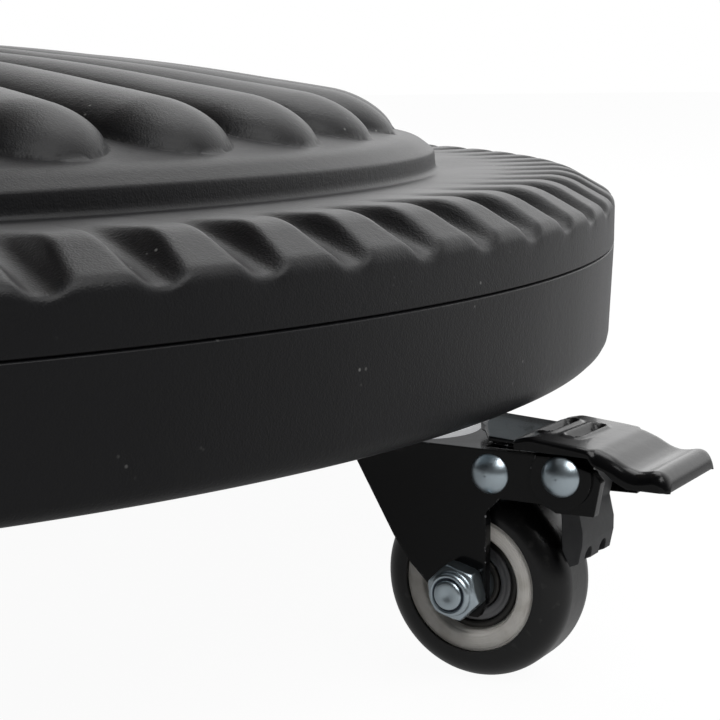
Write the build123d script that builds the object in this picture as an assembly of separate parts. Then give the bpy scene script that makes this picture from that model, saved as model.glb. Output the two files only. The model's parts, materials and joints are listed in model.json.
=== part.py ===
"""Adjustable swivel stool: round platform base on five braked casters, gas lift column, padded seat.

Millimetres. The origin is on the floor under the column, +Z is up and one caster stands at +Y.
"""
import math
import os

from build123d import *

# Fits and gaps shared by all pieces
RUN_FIT = 0.05  # radial clearance of a turning or sliding pin
HOLE_FIT = 0.1  # radial clearance of a fixed pin or screw in its hole
FACE_GAP = 0.3  # gap between faces that pass each other
WALL_GAP = 0.5  # gap between a piece and the opening it passes through

# Caster wheel
WHEEL_D = 40.0
TYRE_W = 18.0
TYRE_EDGE_R = 5.6
CORE_D = 28.0
CORE_RECESS_D = 20.6
CORE_RECESS = 1.0
BEARING_D = 19.0
BEARING_BORE = 6.0
BEARING_W = 6.0
AXLE_HEAD_AF = 10.0
AXLE_HEAD_T = 4.0
AXLE_NUT_T = 6.0
AXLE_END = 0.4
SPACER_D = 9.4

# Caster fork, along the trail from the axle and up from the axle
FORK_T = 2.2
FORK_SIDE_GAP = 1.0
CROWN_GAP = 6.3  # tyre to the crown's underside
TRAIL = 17.5
CROWN_R = 13.0
LEG_BACK = 24.5
LEG_KNEE_BACK = 15.2
LEG_KNEE_UP = 8.8
LEG_TOE_BACK = 7.5
LEG_TOE_FRONT = 5.2
LEG_TOE_DOWN = 5.5
ARM_FRONT = 28.9
ARM_FRONT_DROP = 2.2
ARM_STEP = 20.0
ARCH_OVER = 19.0
ARCH_R = 3.0
RIVET_OUT = 5.9
RIVET_UP = 23.7
RIVET_D = 3.6
RIVET_HEAD_D = 8.0
RIVET_HEAD_H = 2.2
BOSS_D = 12.6
BOSS_T = 0.7

# Caster head
RACE_H = 7.2
RACE_D = 31.0
KINGPIN_D = 9.0
KINGPIN_HEAD_D = 13.0
KINGPIN_HEAD_H = 2.0
PLATE_T = 2.8
PLATE_SIDE = 48.0
PLATE_CORNER_R = 6.0
SCREW_SPACING = 38.0
SCREW_D = 5.0
SCREW_HEAD_D = 9.6
SCREW_HEAD_H = 2.4

# Brake, along the trail from the axle and up from the axle
PIVOT_OUT = 21.0
PIVOT_UP = 24.9
PEDAL_T = 1.6
PEDAL_W = 27.0
PEDAL_ROOT_W = 22.0
PEDAL_ROOT = -1.5
PEDAL_TIP = 42.6
PEDAL_TOP_UP = 30.6
PEDAL_LIP_H = 3.2
PEDAL_RIDGE_H = 1.3
PEDAL_DIP = 3.2
PEDAL_GROOVE_D = 2.2
PEDAL_GROOVE_DEPTH = 0.6
PEDAL_SKIRT_H = 3.4
EAR_T = 1.4
EAR_R = 5.0
SHOE_W = 16.0
SHOE_REACH = 18.7
SHOE_GAP = 2.1
SHOE_T = 2.5
SHOE_NOTCH_W = 3.2
SHOE_NOTCH_H = 3.4
SHOE_NOTCH_OUT = 3.6

# Platform base, up from its underside
BASE_R = 250.0
WALL = 4.0
SIDE_DRAFT = 1.0
BOTTOM_EDGE_R = 4.5
SEAM_H = 24.9
SEAM_BEVEL = 0.9
TONGUE_H = 3.5
TONGUE_T = 2.0
RIM_H = 41.5
RIM_EDGE_R = 7.5
RING_W = 43.0
RING_FALL = 1.0
STEP_H = 7.5
STEP_DRAFT = 1.2
STEP_EDGE_R = 6.5
STEP_SLOPE_W = 9.0
STEP_SLOPE_H = 1.5
DECK_RISE = 16.7
DECK_SAG = 3.0
PLATEAU_R = 90.0
FLUTES = 80
FLUTE_PHASE = 1.7
FLUTE_R = 6.2
FLUTE_LEN = 25.0
FLUTE_DROP = 7.7
FINGERS = 36
FINGER_PHASE = 5.75
FINGER_FILL = 0.92  # share of the finger pitch that a finger takes up
FINGER_INNER_R = 66.0
FINGER_END_H = 7.6
FINGER_INNER_H = 4.8
FINGER_SINK = 1.5
CASTERS = 5
CASTER_FIRST = 90.0
CASTER_INSET = 30.4
CASTER_SWIVEL = -4.7
SHELL_SCREWS = 5
SHELL_SCREW_INSET = 80.0
SHELL_SCREW_D = 4.0
SHELL_SCREW_HEAD_D = 8.0
SHELL_SCREW_HEAD_H = 2.4
SHELL_SCREW_GRIP = 18.0
SHELL_BOSS_D = 13.0

# Steel frame inside the base
FRAME_PAD_T = 6.0
FRAME_PAD_MARGIN = 4.0
ARM_W = 30.0
ARM_H = 18.0
ARM_WALL = 2.0
HUB_D = 64.0
FLOOR_HOLE_R = 14.0

# Gas lift column
COLUMN_D = 50.0
COLUMN_WALL = 2.0
COLUMN_L = 230.0
COLUMN_END_T = 4.0
COLUMN_TAPER = 1.0
COLUMN_LIFT = 4.0  # column foot above the base floor
COLLAR_D = 92.0
COLLAR_H = 18.0
BUSH_L = 60.0
BUSH_FLANGE_H = 3.0
LIFT_TUBE_D = 28.0
LIFT_TUBE_WALL = 2.0
LIFT_TUBE_LOW = 22.0  # lift tube's foot above the column's end plate
GLAND_T = 12.0
ROD_D = 10.0
ROD_COLLAR_D = 18.0
ROD_COLLAR_H = 3.0
STROKE_REST = 100.0  # part of the column that the stroke leaves
PISTON_T = 12.0
PISTON_FIT = 0.08
RELEASE_PIN_D = 8.0
RELEASE_PIN_UP = 5.0
RELEASE_PIN_L = 30.0

# Seat carrier
SOCKET_GAP = 6.0
SOCKET_L = 50.0
SOCKET_D = 40.0
SOCKET_TAPER = 1.0
HOUSING_L = 70.0
HOUSING_W = 50.0
HOUSING_H = 22.0
HOUSING_T = 2.5
SEAT_PLATE_SIDE = 160.0
SEAT_PLATE_T = 3.0
SEAT_BOLT_SPACING = 120.0
SEAT_BOLT_D = 6.0
SEAT_BOLT_HEAD_D = 12.0
SEAT_BOLT_HEAD_H = 4.0
SEAT_BOLT_GRIP = 9.0

# Height lever
LEVER_D = 9.0
LEVER_BAR_W = 12.0
LEVER_BAR_H = 9.0
LEVER_PIVOT_OUT = 22.0
LEVER_PIN_D = 5.0
LEVER_TAIL = 6.0
LEVER_BEND_OUT = 42.0
LEVER_REACH = 150.0
LEVER_FALL = 16.0
GRIP_L = 62.0
GRIP_W = 22.0
GRIP_T = 14.0

# Seat
BOARD_D = 330.0
BOARD_T = 12.0
CUSHION_D = 362.0
CUSHION_H = 72.0
CUSHION_CROWN = 14.0
CUSHION_EDGE_IN = 9.0
CUSHION_WRAP = 9.0

# Heights worked out from the sizes above
wheel_r = WHEEL_D / 2
crown_low = WHEEL_D + CROWN_GAP
crown_top = crown_low + FORK_T
race_low = crown_top + FACE_GAP
plate_low = race_low + RACE_H
base_low = plate_low  # the plates are let into the underside
plate_top = plate_low + PLATE_T
floor_top = base_low + WALL
seam_z = base_low + SEAM_H
rim_z = base_low + RIM_H
step_r = BASE_R - RING_W
ring_z = rim_z - RING_FALL
step_z = ring_z + STEP_H
deck_r = step_r - STEP_DRAFT - STEP_SLOPE_W
deck_z = step_z + STEP_SLOPE_H
plateau_z = deck_z + DECK_RISE
hub_top = plateau_z - WALL - 1.0
column_low = floor_top + COLUMN_LIFT
column_top = column_low + COLUMN_L
bush_top = column_top + BUSH_FLANGE_H
lift_low = column_low + COLUMN_END_T + LIFT_TUBE_LOW
socket_low = bush_top + SOCKET_GAP
socket_top = socket_low + SOCKET_L
housing_floor = socket_top + HOUSING_T
seat_plate_low = housing_floor + HOUSING_H
seat_plate_top = seat_plate_low + SEAT_PLATE_T
board_top = seat_plate_top + BOARD_T
release_top = housing_floor + RELEASE_PIN_UP
lever_z = release_top + FACE_GAP + LEVER_BAR_H / 2
piston_low = lift_low + COLUMN_L - STROKE_REST + GLAND_T + 1.0
king_r = BASE_R - CASTER_INSET
shell_screw_r = BASE_R - SHELL_SCREW_INSET
caster_angles = [CASTER_FIRST + 360.0 / CASTERS * i for i in range(CASTERS)]
fork_inner = TYRE_W / 2 + FORK_SIDE_GAP
fork_outer = fork_inner + FORK_T
pedal_neck = fork_inner - FACE_GAP


def ring_face(*points):
    """Closed outline in the radius and height plane."""
    return make_face(Polyline(*[(r, 0, z) for r, z in points], close=True)).face()


def rounded(face, r, z, radius):
    """The outline with its corner nearest to (r, z) rounded."""
    corner = face.vertices().sort_by_distance((r, 0, z))[0]
    return face.fillet_2d(radius, [corner])


def turned(face):
    """The solid turned from an outline about the vertical axis."""
    return revolve(face, Axis.Z).solid()


def upright(radius, low, high, x=0.0, y=0.0):
    """Vertical cylinder between two heights."""
    return Pos(x, y, (low + high) / 2) * Cylinder(radius, high - low)


def crosswise(radius, start, end, x, z):
    """Cylinder along Y between two places."""
    return Pos(x, (start + end) / 2, z) * Rot(90, 0, 0) * Cylinder(radius, end - start)


def upright_box(length, width, low, high, x=0.0, y=0.0):
    """Box between two heights."""
    return Pos(x, y, (low + high) / 2) * Box(length, width, high - low)


def side_plate(outline, start, end):
    """Plate cut to an outline along X and Z, from one Y to another."""
    face = make_face(Polyline(*[(x, start, z) for x, z in outline], close=True)).face()
    return extrude(face, amount=end - start, dir=(0, 1, 0))


def bulge(start, end, rise):
    """Arc between two radius and height points, lifted by rise at its middle."""
    middle = ((start[0] + end[0]) / 2, 0, (start[1] + end[1]) / 2 + rise)
    return ThreePointArc((start[0], 0, start[1]), middle, (end[0], 0, end[1]))


def deck_height(r):
    """Height of the deck between the fingers at a radius."""
    if r <= PLATEAU_R:
        return plateau_z
    along = (r - PLATEAU_R) / (deck_r - PLATEAU_R)
    return plateau_z - DECK_RISE * along + 4 * DECK_SAG * along * (1 - along)


def finger_height(r):
    """Height of a finger's crest above the deck at a radius."""
    along = (r - FINGER_INNER_R) / (deck_r - FINGER_INNER_R)
    return FINGER_INNER_H + (FINGER_END_H - FINGER_INNER_H) * along


def finger_half(r):
    """Half the width of a finger at a radius."""
    return FINGER_FILL * r * math.tan(math.pi / FINGERS)


def finger():
    """One rounded finger along +X, its foot sunk into the deck."""
    tip_r = deck_r / (1 + FINGER_FILL * math.tan(math.pi / FINGERS))
    inner_r = FINGER_INNER_R
    stations = [inner_r + (tip_r - inner_r) * i / 4 for i in range(5)]
    sections = []
    for r in stations:
        half = finger_half(r)
        foot = deck_height(r) - FINGER_SINK
        crest = deck_height(r) + finger_height(r)
        arch = ThreePointArc((r, -half, foot), (r, 0, crest), (r, half, foot))
        sections.append(make_face([arch, Line((r, half, foot), (r, -half, foot))]).face())
    body = loft(sections)
    for r in (inner_r, tip_r):
        half = finger_half(r)
        foot = deck_height(r) - FINGER_SINK
        crest = deck_height(r) + finger_height(r)
        rise = crest - foot
        ball_r = (half**2 + rise**2) / (2 * rise)
        cap = Pos(r, 0, crest - ball_r) * Sphere(ball_r)
        cap = cap & upright(half + 1, foot, crest + 1, x=r)
        outward = 1 if r == tip_r else -1
        cap = cap & upright_box(2 * half, 4 * half, foot, crest + 1, x=r + outward * half)
        body = body + cap
    return body.solid()


def upper_shell():
    """Fluted rim, ring, step and finger deck of the platform."""
    hole_r = HUB_D / 2 + WALL_GAP
    step_top = (step_r - STEP_DRAFT, step_z)
    inner_step = step_r - STEP_DRAFT - WALL
    inner_ring = ring_z - WALL
    inner_deck_r = deck_r - WALL
    outline = [
        Polyline(
            (PLATEAU_R, 0, plateau_z),
            (hole_r, 0, plateau_z),
            (hole_r, 0, plateau_z - WALL),
            (PLATEAU_R, 0, plateau_z - WALL),
        ),
        bulge((PLATEAU_R, plateau_z - WALL), (inner_deck_r, deck_z - WALL), DECK_SAG),
        Polyline(
            (inner_deck_r, 0, deck_z - WALL),
            (inner_step, 0, step_z - WALL),
            (inner_step, 0, inner_ring),
            (BASE_R - FLUTE_LEN - WALL / 2, 0, inner_ring),
            (BASE_R - WALL, 0, rim_z - FLUTE_DROP - WALL),
            (BASE_R - WALL, 0, seam_z),
            (BASE_R - SEAM_BEVEL, 0, seam_z),
            (BASE_R, 0, seam_z + SEAM_BEVEL),
            (BASE_R, 0, rim_z),
            (step_r, 0, ring_z),
            (step_top[0], 0, step_top[1]),
            (deck_r, 0, deck_z),
        ),
        bulge((deck_r, deck_z), (PLATEAU_R, plateau_z), DECK_SAG),
    ]
    face = make_face(outline).face()
    face = rounded(face, BASE_R, rim_z, RIM_EDGE_R)
    face = rounded(face, step_top[0], step_top[1], STEP_EDGE_R)
    shell = turned(face)
    slope = math.degrees(math.atan2(FLUTE_DROP, FLUTE_LEN))
    length = 2 * FLUTE_LEN
    start = Pos(BASE_R - FLUTE_LEN, 0, rim_z) * Rot(0, slope, 0)
    cutter = start * Pos(length / 2, 0, FLUTE_R) * Rot(0, 90, 0) * Cylinder(FLUTE_R, length)
    flute_angles = [FLUTE_PHASE + 360.0 / FLUTES * i for i in range(FLUTES)]
    shell = shell.cut(*[(Rot(0, 0, a) * cutter).solid() for a in flute_angles])
    one = finger()
    finger_angles = [FINGER_PHASE + 360.0 / FINGERS * i for i in range(FINGERS)]
    shell = shell.fuse(*[(Rot(0, 0, a) * one) for a in finger_angles])
    posts = []
    for a in shell_screw_angles():
        post = upright(SHELL_BOSS_D / 2, floor_top, deck_height(shell_screw_r) - WALL / 2, x=shell_screw_r)
        posts.append((Rot(0, 0, a) * post).solid())
    shell = shell.fuse(*posts)
    holes = []
    for a in shell_screw_angles():
        hole = upright(SHELL_SCREW_D / 2 + HOLE_FIT, floor_top - 1, floor_top + SHELL_SCREW_GRIP + 1, x=shell_screw_r)
        holes.append((Rot(0, 0, a) * hole).solid())
    return shell.cut(*holes).solid()


def shell_screw_angles():
    """The screws that join the shells stand between the frame's arms."""
    return [CASTER_FIRST + 360.0 / SHELL_SCREWS * (i + 0.5) for i in range(SHELL_SCREWS)]


def screw_places():
    """Places of a caster's plate screws round its kingpin."""
    half = SCREW_SPACING / 2
    return [(half, half), (-half, half), (-half, -half), (half, -half)]


def lower_shell():
    """Bottom pan of the platform with its side wall up to the seam."""
    tongue_out = BASE_R - WALL - FACE_GAP
    tongue_in = tongue_out - TONGUE_T
    side_low = BASE_R - SIDE_DRAFT
    face = ring_face(
        (FLOOR_HOLE_R, base_low),
        (side_low, base_low),
        (BASE_R, seam_z - SEAM_BEVEL),
        (BASE_R - SEAM_BEVEL, seam_z),
        (tongue_out, seam_z),
        (tongue_out, seam_z + TONGUE_H),
        (tongue_in, seam_z + TONGUE_H),
        (tongue_in, seam_z - TONGUE_H),
        (side_low - WALL, floor_top + WALL),
        (side_low - WALL, floor_top),
        (FLOOR_HOLE_R, floor_top),
    )
    face = rounded(face, side_low, base_low, BOTTOM_EDGE_R)
    shell = turned(face)
    holes = []
    for a in caster_angles:
        pocket_side = PLATE_SIDE + 2 * FACE_GAP
        pocket = upright_box(pocket_side, pocket_side, base_low - 1, plate_top, x=king_r)
        pocket = fillet(pocket.edges().filter_by(Axis.Z), PLATE_CORNER_R + FACE_GAP)
        holes.append((Rot(0, 0, a) * pocket).solid())
        for x, y in screw_places():
            hole = upright(SCREW_D / 2 + HOLE_FIT, base_low - 1, floor_top + 1, x=king_r + x, y=y)
            holes.append((Rot(0, 0, a) * hole).solid())
    for a in shell_screw_angles():
        hole = upright(SHELL_SCREW_D / 2 + HOLE_FIT, base_low - 1, floor_top + 1, x=shell_screw_r)
        holes.append((Rot(0, 0, a) * hole).solid())
    return shell.cut(*holes).solid()


def shell_screws():
    """Screws up through the pan into the upper shell's posts."""
    screws = []
    for a in shell_screw_angles():
        head = upright(SHELL_SCREW_HEAD_D / 2, base_low - SHELL_SCREW_HEAD_H, base_low, x=shell_screw_r)
        head = fillet(head.faces().sort_by(Axis.Z)[0].edges(), SHELL_SCREW_HEAD_H / 3)
        slot = upright_box(SHELL_SCREW_HEAD_D / 2, 1.0, base_low - SHELL_SCREW_HEAD_H - 1,
                           base_low - SHELL_SCREW_HEAD_H / 2, x=shell_screw_r)
        head = head - slot - Pos(shell_screw_r, 0, 0) * Rot(0, 0, 90) * Pos(-shell_screw_r, 0, 0) * slot
        shank = upright(SHELL_SCREW_D / 2, base_low, floor_top + SHELL_SCREW_GRIP, x=shell_screw_r)
        screws.append((Rot(0, 0, a) * (head + shank)).solid())
    return screws


def base_frame():
    """Welded steel star: hub, five box arms and the caster pads."""
    bore_low = COLUMN_D / 2 - COLUMN_TAPER + RUN_FIT
    bore_top = COLUMN_D / 2 + RUN_FIT
    hub = ring_face(
        (bore_low, floor_top),
        (HUB_D / 2, floor_top),
        (HUB_D / 2, hub_top),
        (bore_top, hub_top),
        (bore_low, column_low),
    )
    frame = turned(hub)
    pad_half = SCREW_SPACING / 2 + FRAME_PAD_MARGIN
    arm_end = king_r - pad_half + 8.0
    for a in caster_angles:
        arm_start = HUB_D / 2 - 3.0
        middle = (arm_start + arm_end) / 2
        arm = upright_box(arm_end - arm_start, ARM_W, floor_top, floor_top + ARM_H, x=middle)
        core = upright_box(arm_end - HUB_D / 2 + 1, ARM_W - 2 * ARM_WALL, floor_top + ARM_WALL,
                           floor_top + ARM_H - ARM_WALL, x=(HUB_D / 2 + arm_end + 1) / 2)
        pad = upright_box(2 * pad_half, 2 * pad_half, floor_top, floor_top + FRAME_PAD_T, x=king_r)
        star = arm - core + pad
        for x, y in screw_places():
            star = star - upright(SCREW_D / 2 + HOLE_FIT, floor_top - 1, floor_top + FRAME_PAD_T + 1, x=king_r + x, y=y)
        frame = frame + Rot(0, 0, a) * star
    return frame.solid()


def caster_plates():
    """Square top plates with countersunk holes."""
    plates = []
    for a in caster_angles:
        plate = upright_box(PLATE_SIDE, PLATE_SIDE, plate_low, plate_top, x=king_r)
        plate = fillet(plate.edges().filter_by(Axis.Z), PLATE_CORNER_R)
        plate = plate - upright(KINGPIN_D / 2 + HOLE_FIT, plate_low - 1, plate_top + 1, x=king_r)
        for x, y in screw_places():
            plate = plate - Pos(king_r + x, y, 0) * countersunk(HOLE_FIT, plate_top + 1, 1.0)
        plates.append((Rot(0, 0, a) * plate).solid())
    return plates


def countersunk(extra, top, below):
    """Countersunk screw from the plate's underside, or its hole with extra clearance all round."""
    head_r = SCREW_HEAD_D / 2 + extra
    shank_r = SCREW_D / 2 + extra
    low = plate_low - below
    return turned(ring_face((0, low), (head_r, low), (head_r, plate_low + extra),
                            (shank_r, plate_low + SCREW_HEAD_H + extra), (shank_r, top), (0, top)))


def caster_screws():
    """Countersunk screws up through plate and pan into the frame's pads."""
    screws = []
    top = floor_top + FRAME_PAD_T
    cross = upright_box(5.0, 1.0, plate_low - 1, plate_low + 1.2)
    for a in caster_angles:
        for x, y in screw_places():
            head_r = SCREW_HEAD_D / 2
            shank_r = SCREW_D / 2
            screw = turned(ring_face((0, plate_low), (head_r, plate_low), (shank_r, plate_low + SCREW_HEAD_H),
                                     (shank_r, top), (0, top)))
            screw = screw - cross - Rot(0, 0, 90) * cross
            screws.append((Rot(0, 0, a) * Pos(king_r + x, y, 0) * screw).solid())
    return screws


def caster_kingpins():
    """Ball race with the riveted pin that carries the fork."""
    pins = []
    pin_r = KINGPIN_D / 2
    head_top = crown_low - FACE_GAP
    head_low = head_top - KINGPIN_HEAD_H
    face = ring_face(
        (0, head_low),
        (KINGPIN_HEAD_D / 2, head_low),
        (KINGPIN_HEAD_D / 2, head_top),
        (pin_r, head_top),
        (pin_r, race_low),
        (RACE_D / 2 - 1.5, race_low),
        (RACE_D / 2, race_low + 1.5),
        (RACE_D / 2, plate_low - 0.8),
        (RACE_D / 2 - 0.8, plate_low),
        (pin_r, plate_low),
        (pin_r, plate_top),
        (0, plate_top),
    )
    pin = turned(face)
    for a in caster_angles:
        pins.append((Rot(0, 0, a) * Pos(king_r, 0, 0) * pin).solid())
    return pins


def fork():
    """Stamped fork: crown, two legs to the axle and two arms that carry the brake's pivot."""
    axle_z = wheel_r
    top = crown_top
    arch_z = axle_z + ARCH_OVER
    outline = [
        (TRAIL - LEG_BACK, top),
        (TRAIL - LEG_BACK, top - 4.0),
        (TRAIL - LEG_KNEE_BACK, axle_z + LEG_KNEE_UP),
        (TRAIL - (LEG_KNEE_BACK + LEG_TOE_BACK) / 2, axle_z + LEG_KNEE_UP * 0.42),
        (TRAIL - LEG_TOE_BACK, axle_z),
        (TRAIL - LEG_TOE_BACK * 0.7, axle_z - LEG_TOE_DOWN),
        (TRAIL + LEG_TOE_FRONT * 0.7, axle_z - LEG_TOE_DOWN),
        (TRAIL + LEG_TOE_FRONT, axle_z - LEG_TOE_DOWN * 0.5),
        (TRAIL + LEG_TOE_FRONT, arch_z - ARCH_R),
        (TRAIL + LEG_TOE_FRONT + ARCH_R, arch_z),
        (TRAIL + ARM_STEP - ARCH_R, arch_z),
        (TRAIL + ARM_STEP, arch_z - 1.4),
        (TRAIL + ARM_FRONT - 1.2, arch_z - 1.2),
        (TRAIL + ARM_FRONT, arch_z + 5.5),
        (TRAIL + ARM_FRONT - 1.5, top - ARM_FRONT_DROP),
        (TRAIL + PIVOT_OUT - 2.0, top),
    ]
    body = upright_box(LEG_BACK + 4.0, 2 * fork_outer, crown_low, top, x=TRAIL - LEG_BACK / 2 + 2.0)
    body = body + upright(CROWN_R, crown_low, top)
    for side in (-1, 1):
        inner = side * fork_inner
        outer = side * fork_outer
        leg = side_plate(outline, min(inner, outer), max(inner, outer))
        boss_end = outer + side * BOSS_T
        boss = crosswise(BOSS_D / 2, min(outer, boss_end), max(outer, boss_end), TRAIL + PIVOT_OUT, axle_z + PIVOT_UP)
        boss = boss & side_plate(outline, min(outer, boss_end), max(outer, boss_end))
        body = body + leg + boss
    body = body - upright(KINGPIN_D / 2 + RUN_FIT, crown_low - 1, top + 1)
    reach = fork_outer + 5
    body = body - crosswise(BEARING_BORE / 2 + HOLE_FIT, -reach, reach, TRAIL, axle_z)
    body = body - crosswise(RIVET_D / 2 + HOLE_FIT, -reach, reach, TRAIL + RIVET_OUT, axle_z + RIVET_UP)
    body = body - crosswise(RIVET_D / 2 + HOLE_FIT, -reach, reach, TRAIL + PIVOT_OUT, axle_z + PIVOT_UP)
    return body.solid()


def cross_rivet(x, z, seat):
    """Rivet through both legs with a domed head on each side."""
    shank = crosswise(RIVET_D / 2, -seat - 0.5, seat + 0.5, x, z)
    ball_r = ((RIVET_HEAD_D / 2) ** 2 + RIVET_HEAD_H**2) / (2 * RIVET_HEAD_H)
    ball = Pos(0, 0, RIVET_HEAD_H - ball_r) * Sphere(ball_r) & upright(RIVET_HEAD_D, 0, RIVET_HEAD_H + 1)
    near = Pos(x, -seat, z) * Rot(90, 0, 0) * ball
    far = Pos(x, seat, z) * Rot(-90, 0, 0) * ball
    return (shank + near + far).solid()


def fork_rivets():
    """Cross rivet over the wheel and the brake's pivot rivet."""
    over = cross_rivet(TRAIL + RIVET_OUT, wheel_r + RIVET_UP, fork_outer)
    pivot = cross_rivet(TRAIL + PIVOT_OUT, wheel_r + PIVOT_UP, fork_outer + BOSS_T)
    return [over, pivot]


def axle_set():
    """Axle bolt, its lock nut and the two spacers beside the bearings."""
    shank_r = BEARING_BORE / 2
    nut_end = fork_outer + AXLE_NUT_T
    hexagon = RegularPolygon(AXLE_HEAD_AF / 2, 6, major_radius=False)
    head = extrude(hexagon, AXLE_HEAD_T)
    head = Pos(TRAIL, fork_outer, wheel_r) * Rot(-90, 0, 0) * head
    shank = crosswise(shank_r, -nut_end - AXLE_END, fork_outer + 0.5, TRAIL, wheel_r)
    shank = chamfer(shank.faces().sort_by(Axis.Y)[0].edges(), 0.6)
    dome = upright(AXLE_HEAD_AF / 2 - 0.6, 0, AXLE_NUT_T)
    dome = fillet(dome.faces().sort_by(Axis.Z)[-1].edges(), 0.8)
    nut = Rot(0, 0, 15) * extrude(hexagon, AXLE_NUT_T * 0.7) + dome
    nut = nut - upright(shank_r + HOLE_FIT, -1, AXLE_NUT_T + 1)
    nut = Pos(TRAIL, -fork_outer, wheel_r) * Rot(90, 0, 0) * nut
    spacers = []
    core_half = TYRE_W / 2 - CORE_RECESS
    for side in (-1, 1):
        ends = sorted((side * (core_half + FACE_GAP), side * fork_inner))
        spacer = crosswise(SPACER_D / 2, ends[0], ends[1], TRAIL, wheel_r)
        spacer = spacer - crosswise(shank_r + HOLE_FIT, -fork_inner - 1, fork_inner + 1, TRAIL, wheel_r)
        spacers.append(spacer.solid())
    return [(head + shank).solid(), nut.solid()] + spacers


def wheel_ring(*points):
    """Solid turned about the axle from a radius and width outline."""
    return Pos(TRAIL, 0, wheel_r) * Rot(90, 0, 0) * turned(ring_face(*points))


def wheel_core():
    """Moulded hub ring between tyre and bearings."""
    half = TYRE_W / 2 - 0.3
    recess = TYRE_W / 2 - CORE_RECESS
    seat = BEARING_D / 2
    rest = recess - BEARING_W
    inner = seat - 2.0
    return wheel_ring((inner, -rest), (seat, -rest), (seat, -recess), (CORE_RECESS_D / 2, -recess),
                      (CORE_RECESS_D / 2, -half), (CORE_D / 2, -half), (CORE_D / 2, half),
                      (CORE_RECESS_D / 2, half), (CORE_RECESS_D / 2, recess), (seat, recess),
                      (seat, rest), (inner, rest)).solid()


def tyre():
    """Tyre with rounded shoulders."""
    half = TYRE_W / 2
    face = ring_face((CORE_D / 2, -half), (wheel_r, -half), (wheel_r, half), (CORE_D / 2, half))
    face = rounded(face, wheel_r, -half, TYRE_EDGE_R)
    face = rounded(face, wheel_r, half, TYRE_EDGE_R)
    return (Pos(TRAIL, 0, wheel_r) * Rot(90, 0, 0) * turned(face)).solid()


def wheel_bearings():
    """Pair of ball bearings, drawn closed."""
    outer = TYRE_W / 2 - CORE_RECESS
    inner = outer - BEARING_W
    bore = BEARING_BORE / 2 + RUN_FIT
    rings = []
    for side in (-1, 1):
        face = [(bore, side * inner), (BEARING_D / 2, side * inner), (BEARING_D / 2, side * outer),
                (BEARING_D / 2 - 1.6, side * outer), (BEARING_D / 2 - 1.6, side * (outer - 0.4)),
                (SPACER_D / 2, side * (outer - 0.4)), (SPACER_D / 2, side * outer), (bore, side * outer)]
        rings.append(wheel_ring(*face).solid())
    return rings


def pedal_plan():
    """Pedal seen from above: straight root over the crown, broad foot plate over the fork's arms."""
    root = TRAIL + PEDAL_ROOT
    tip = TRAIL + PEDAL_TIP
    half_root = PEDAL_ROOT_W / 2
    half = PEDAL_W / 2
    near = [
        (root, half_root),
        (root + 12.1, half_root),
        (root + 12.6, half),
        (tip - 1.5, half),
        (tip, half - 2.5),
    ]
    far = [(x, -y) for x, y in reversed(near)]
    face = make_face(Polyline(*near, *far, close=True)).face()
    return Pos(0, 0, crown_low - 10) * extrude(face, 30)


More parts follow.
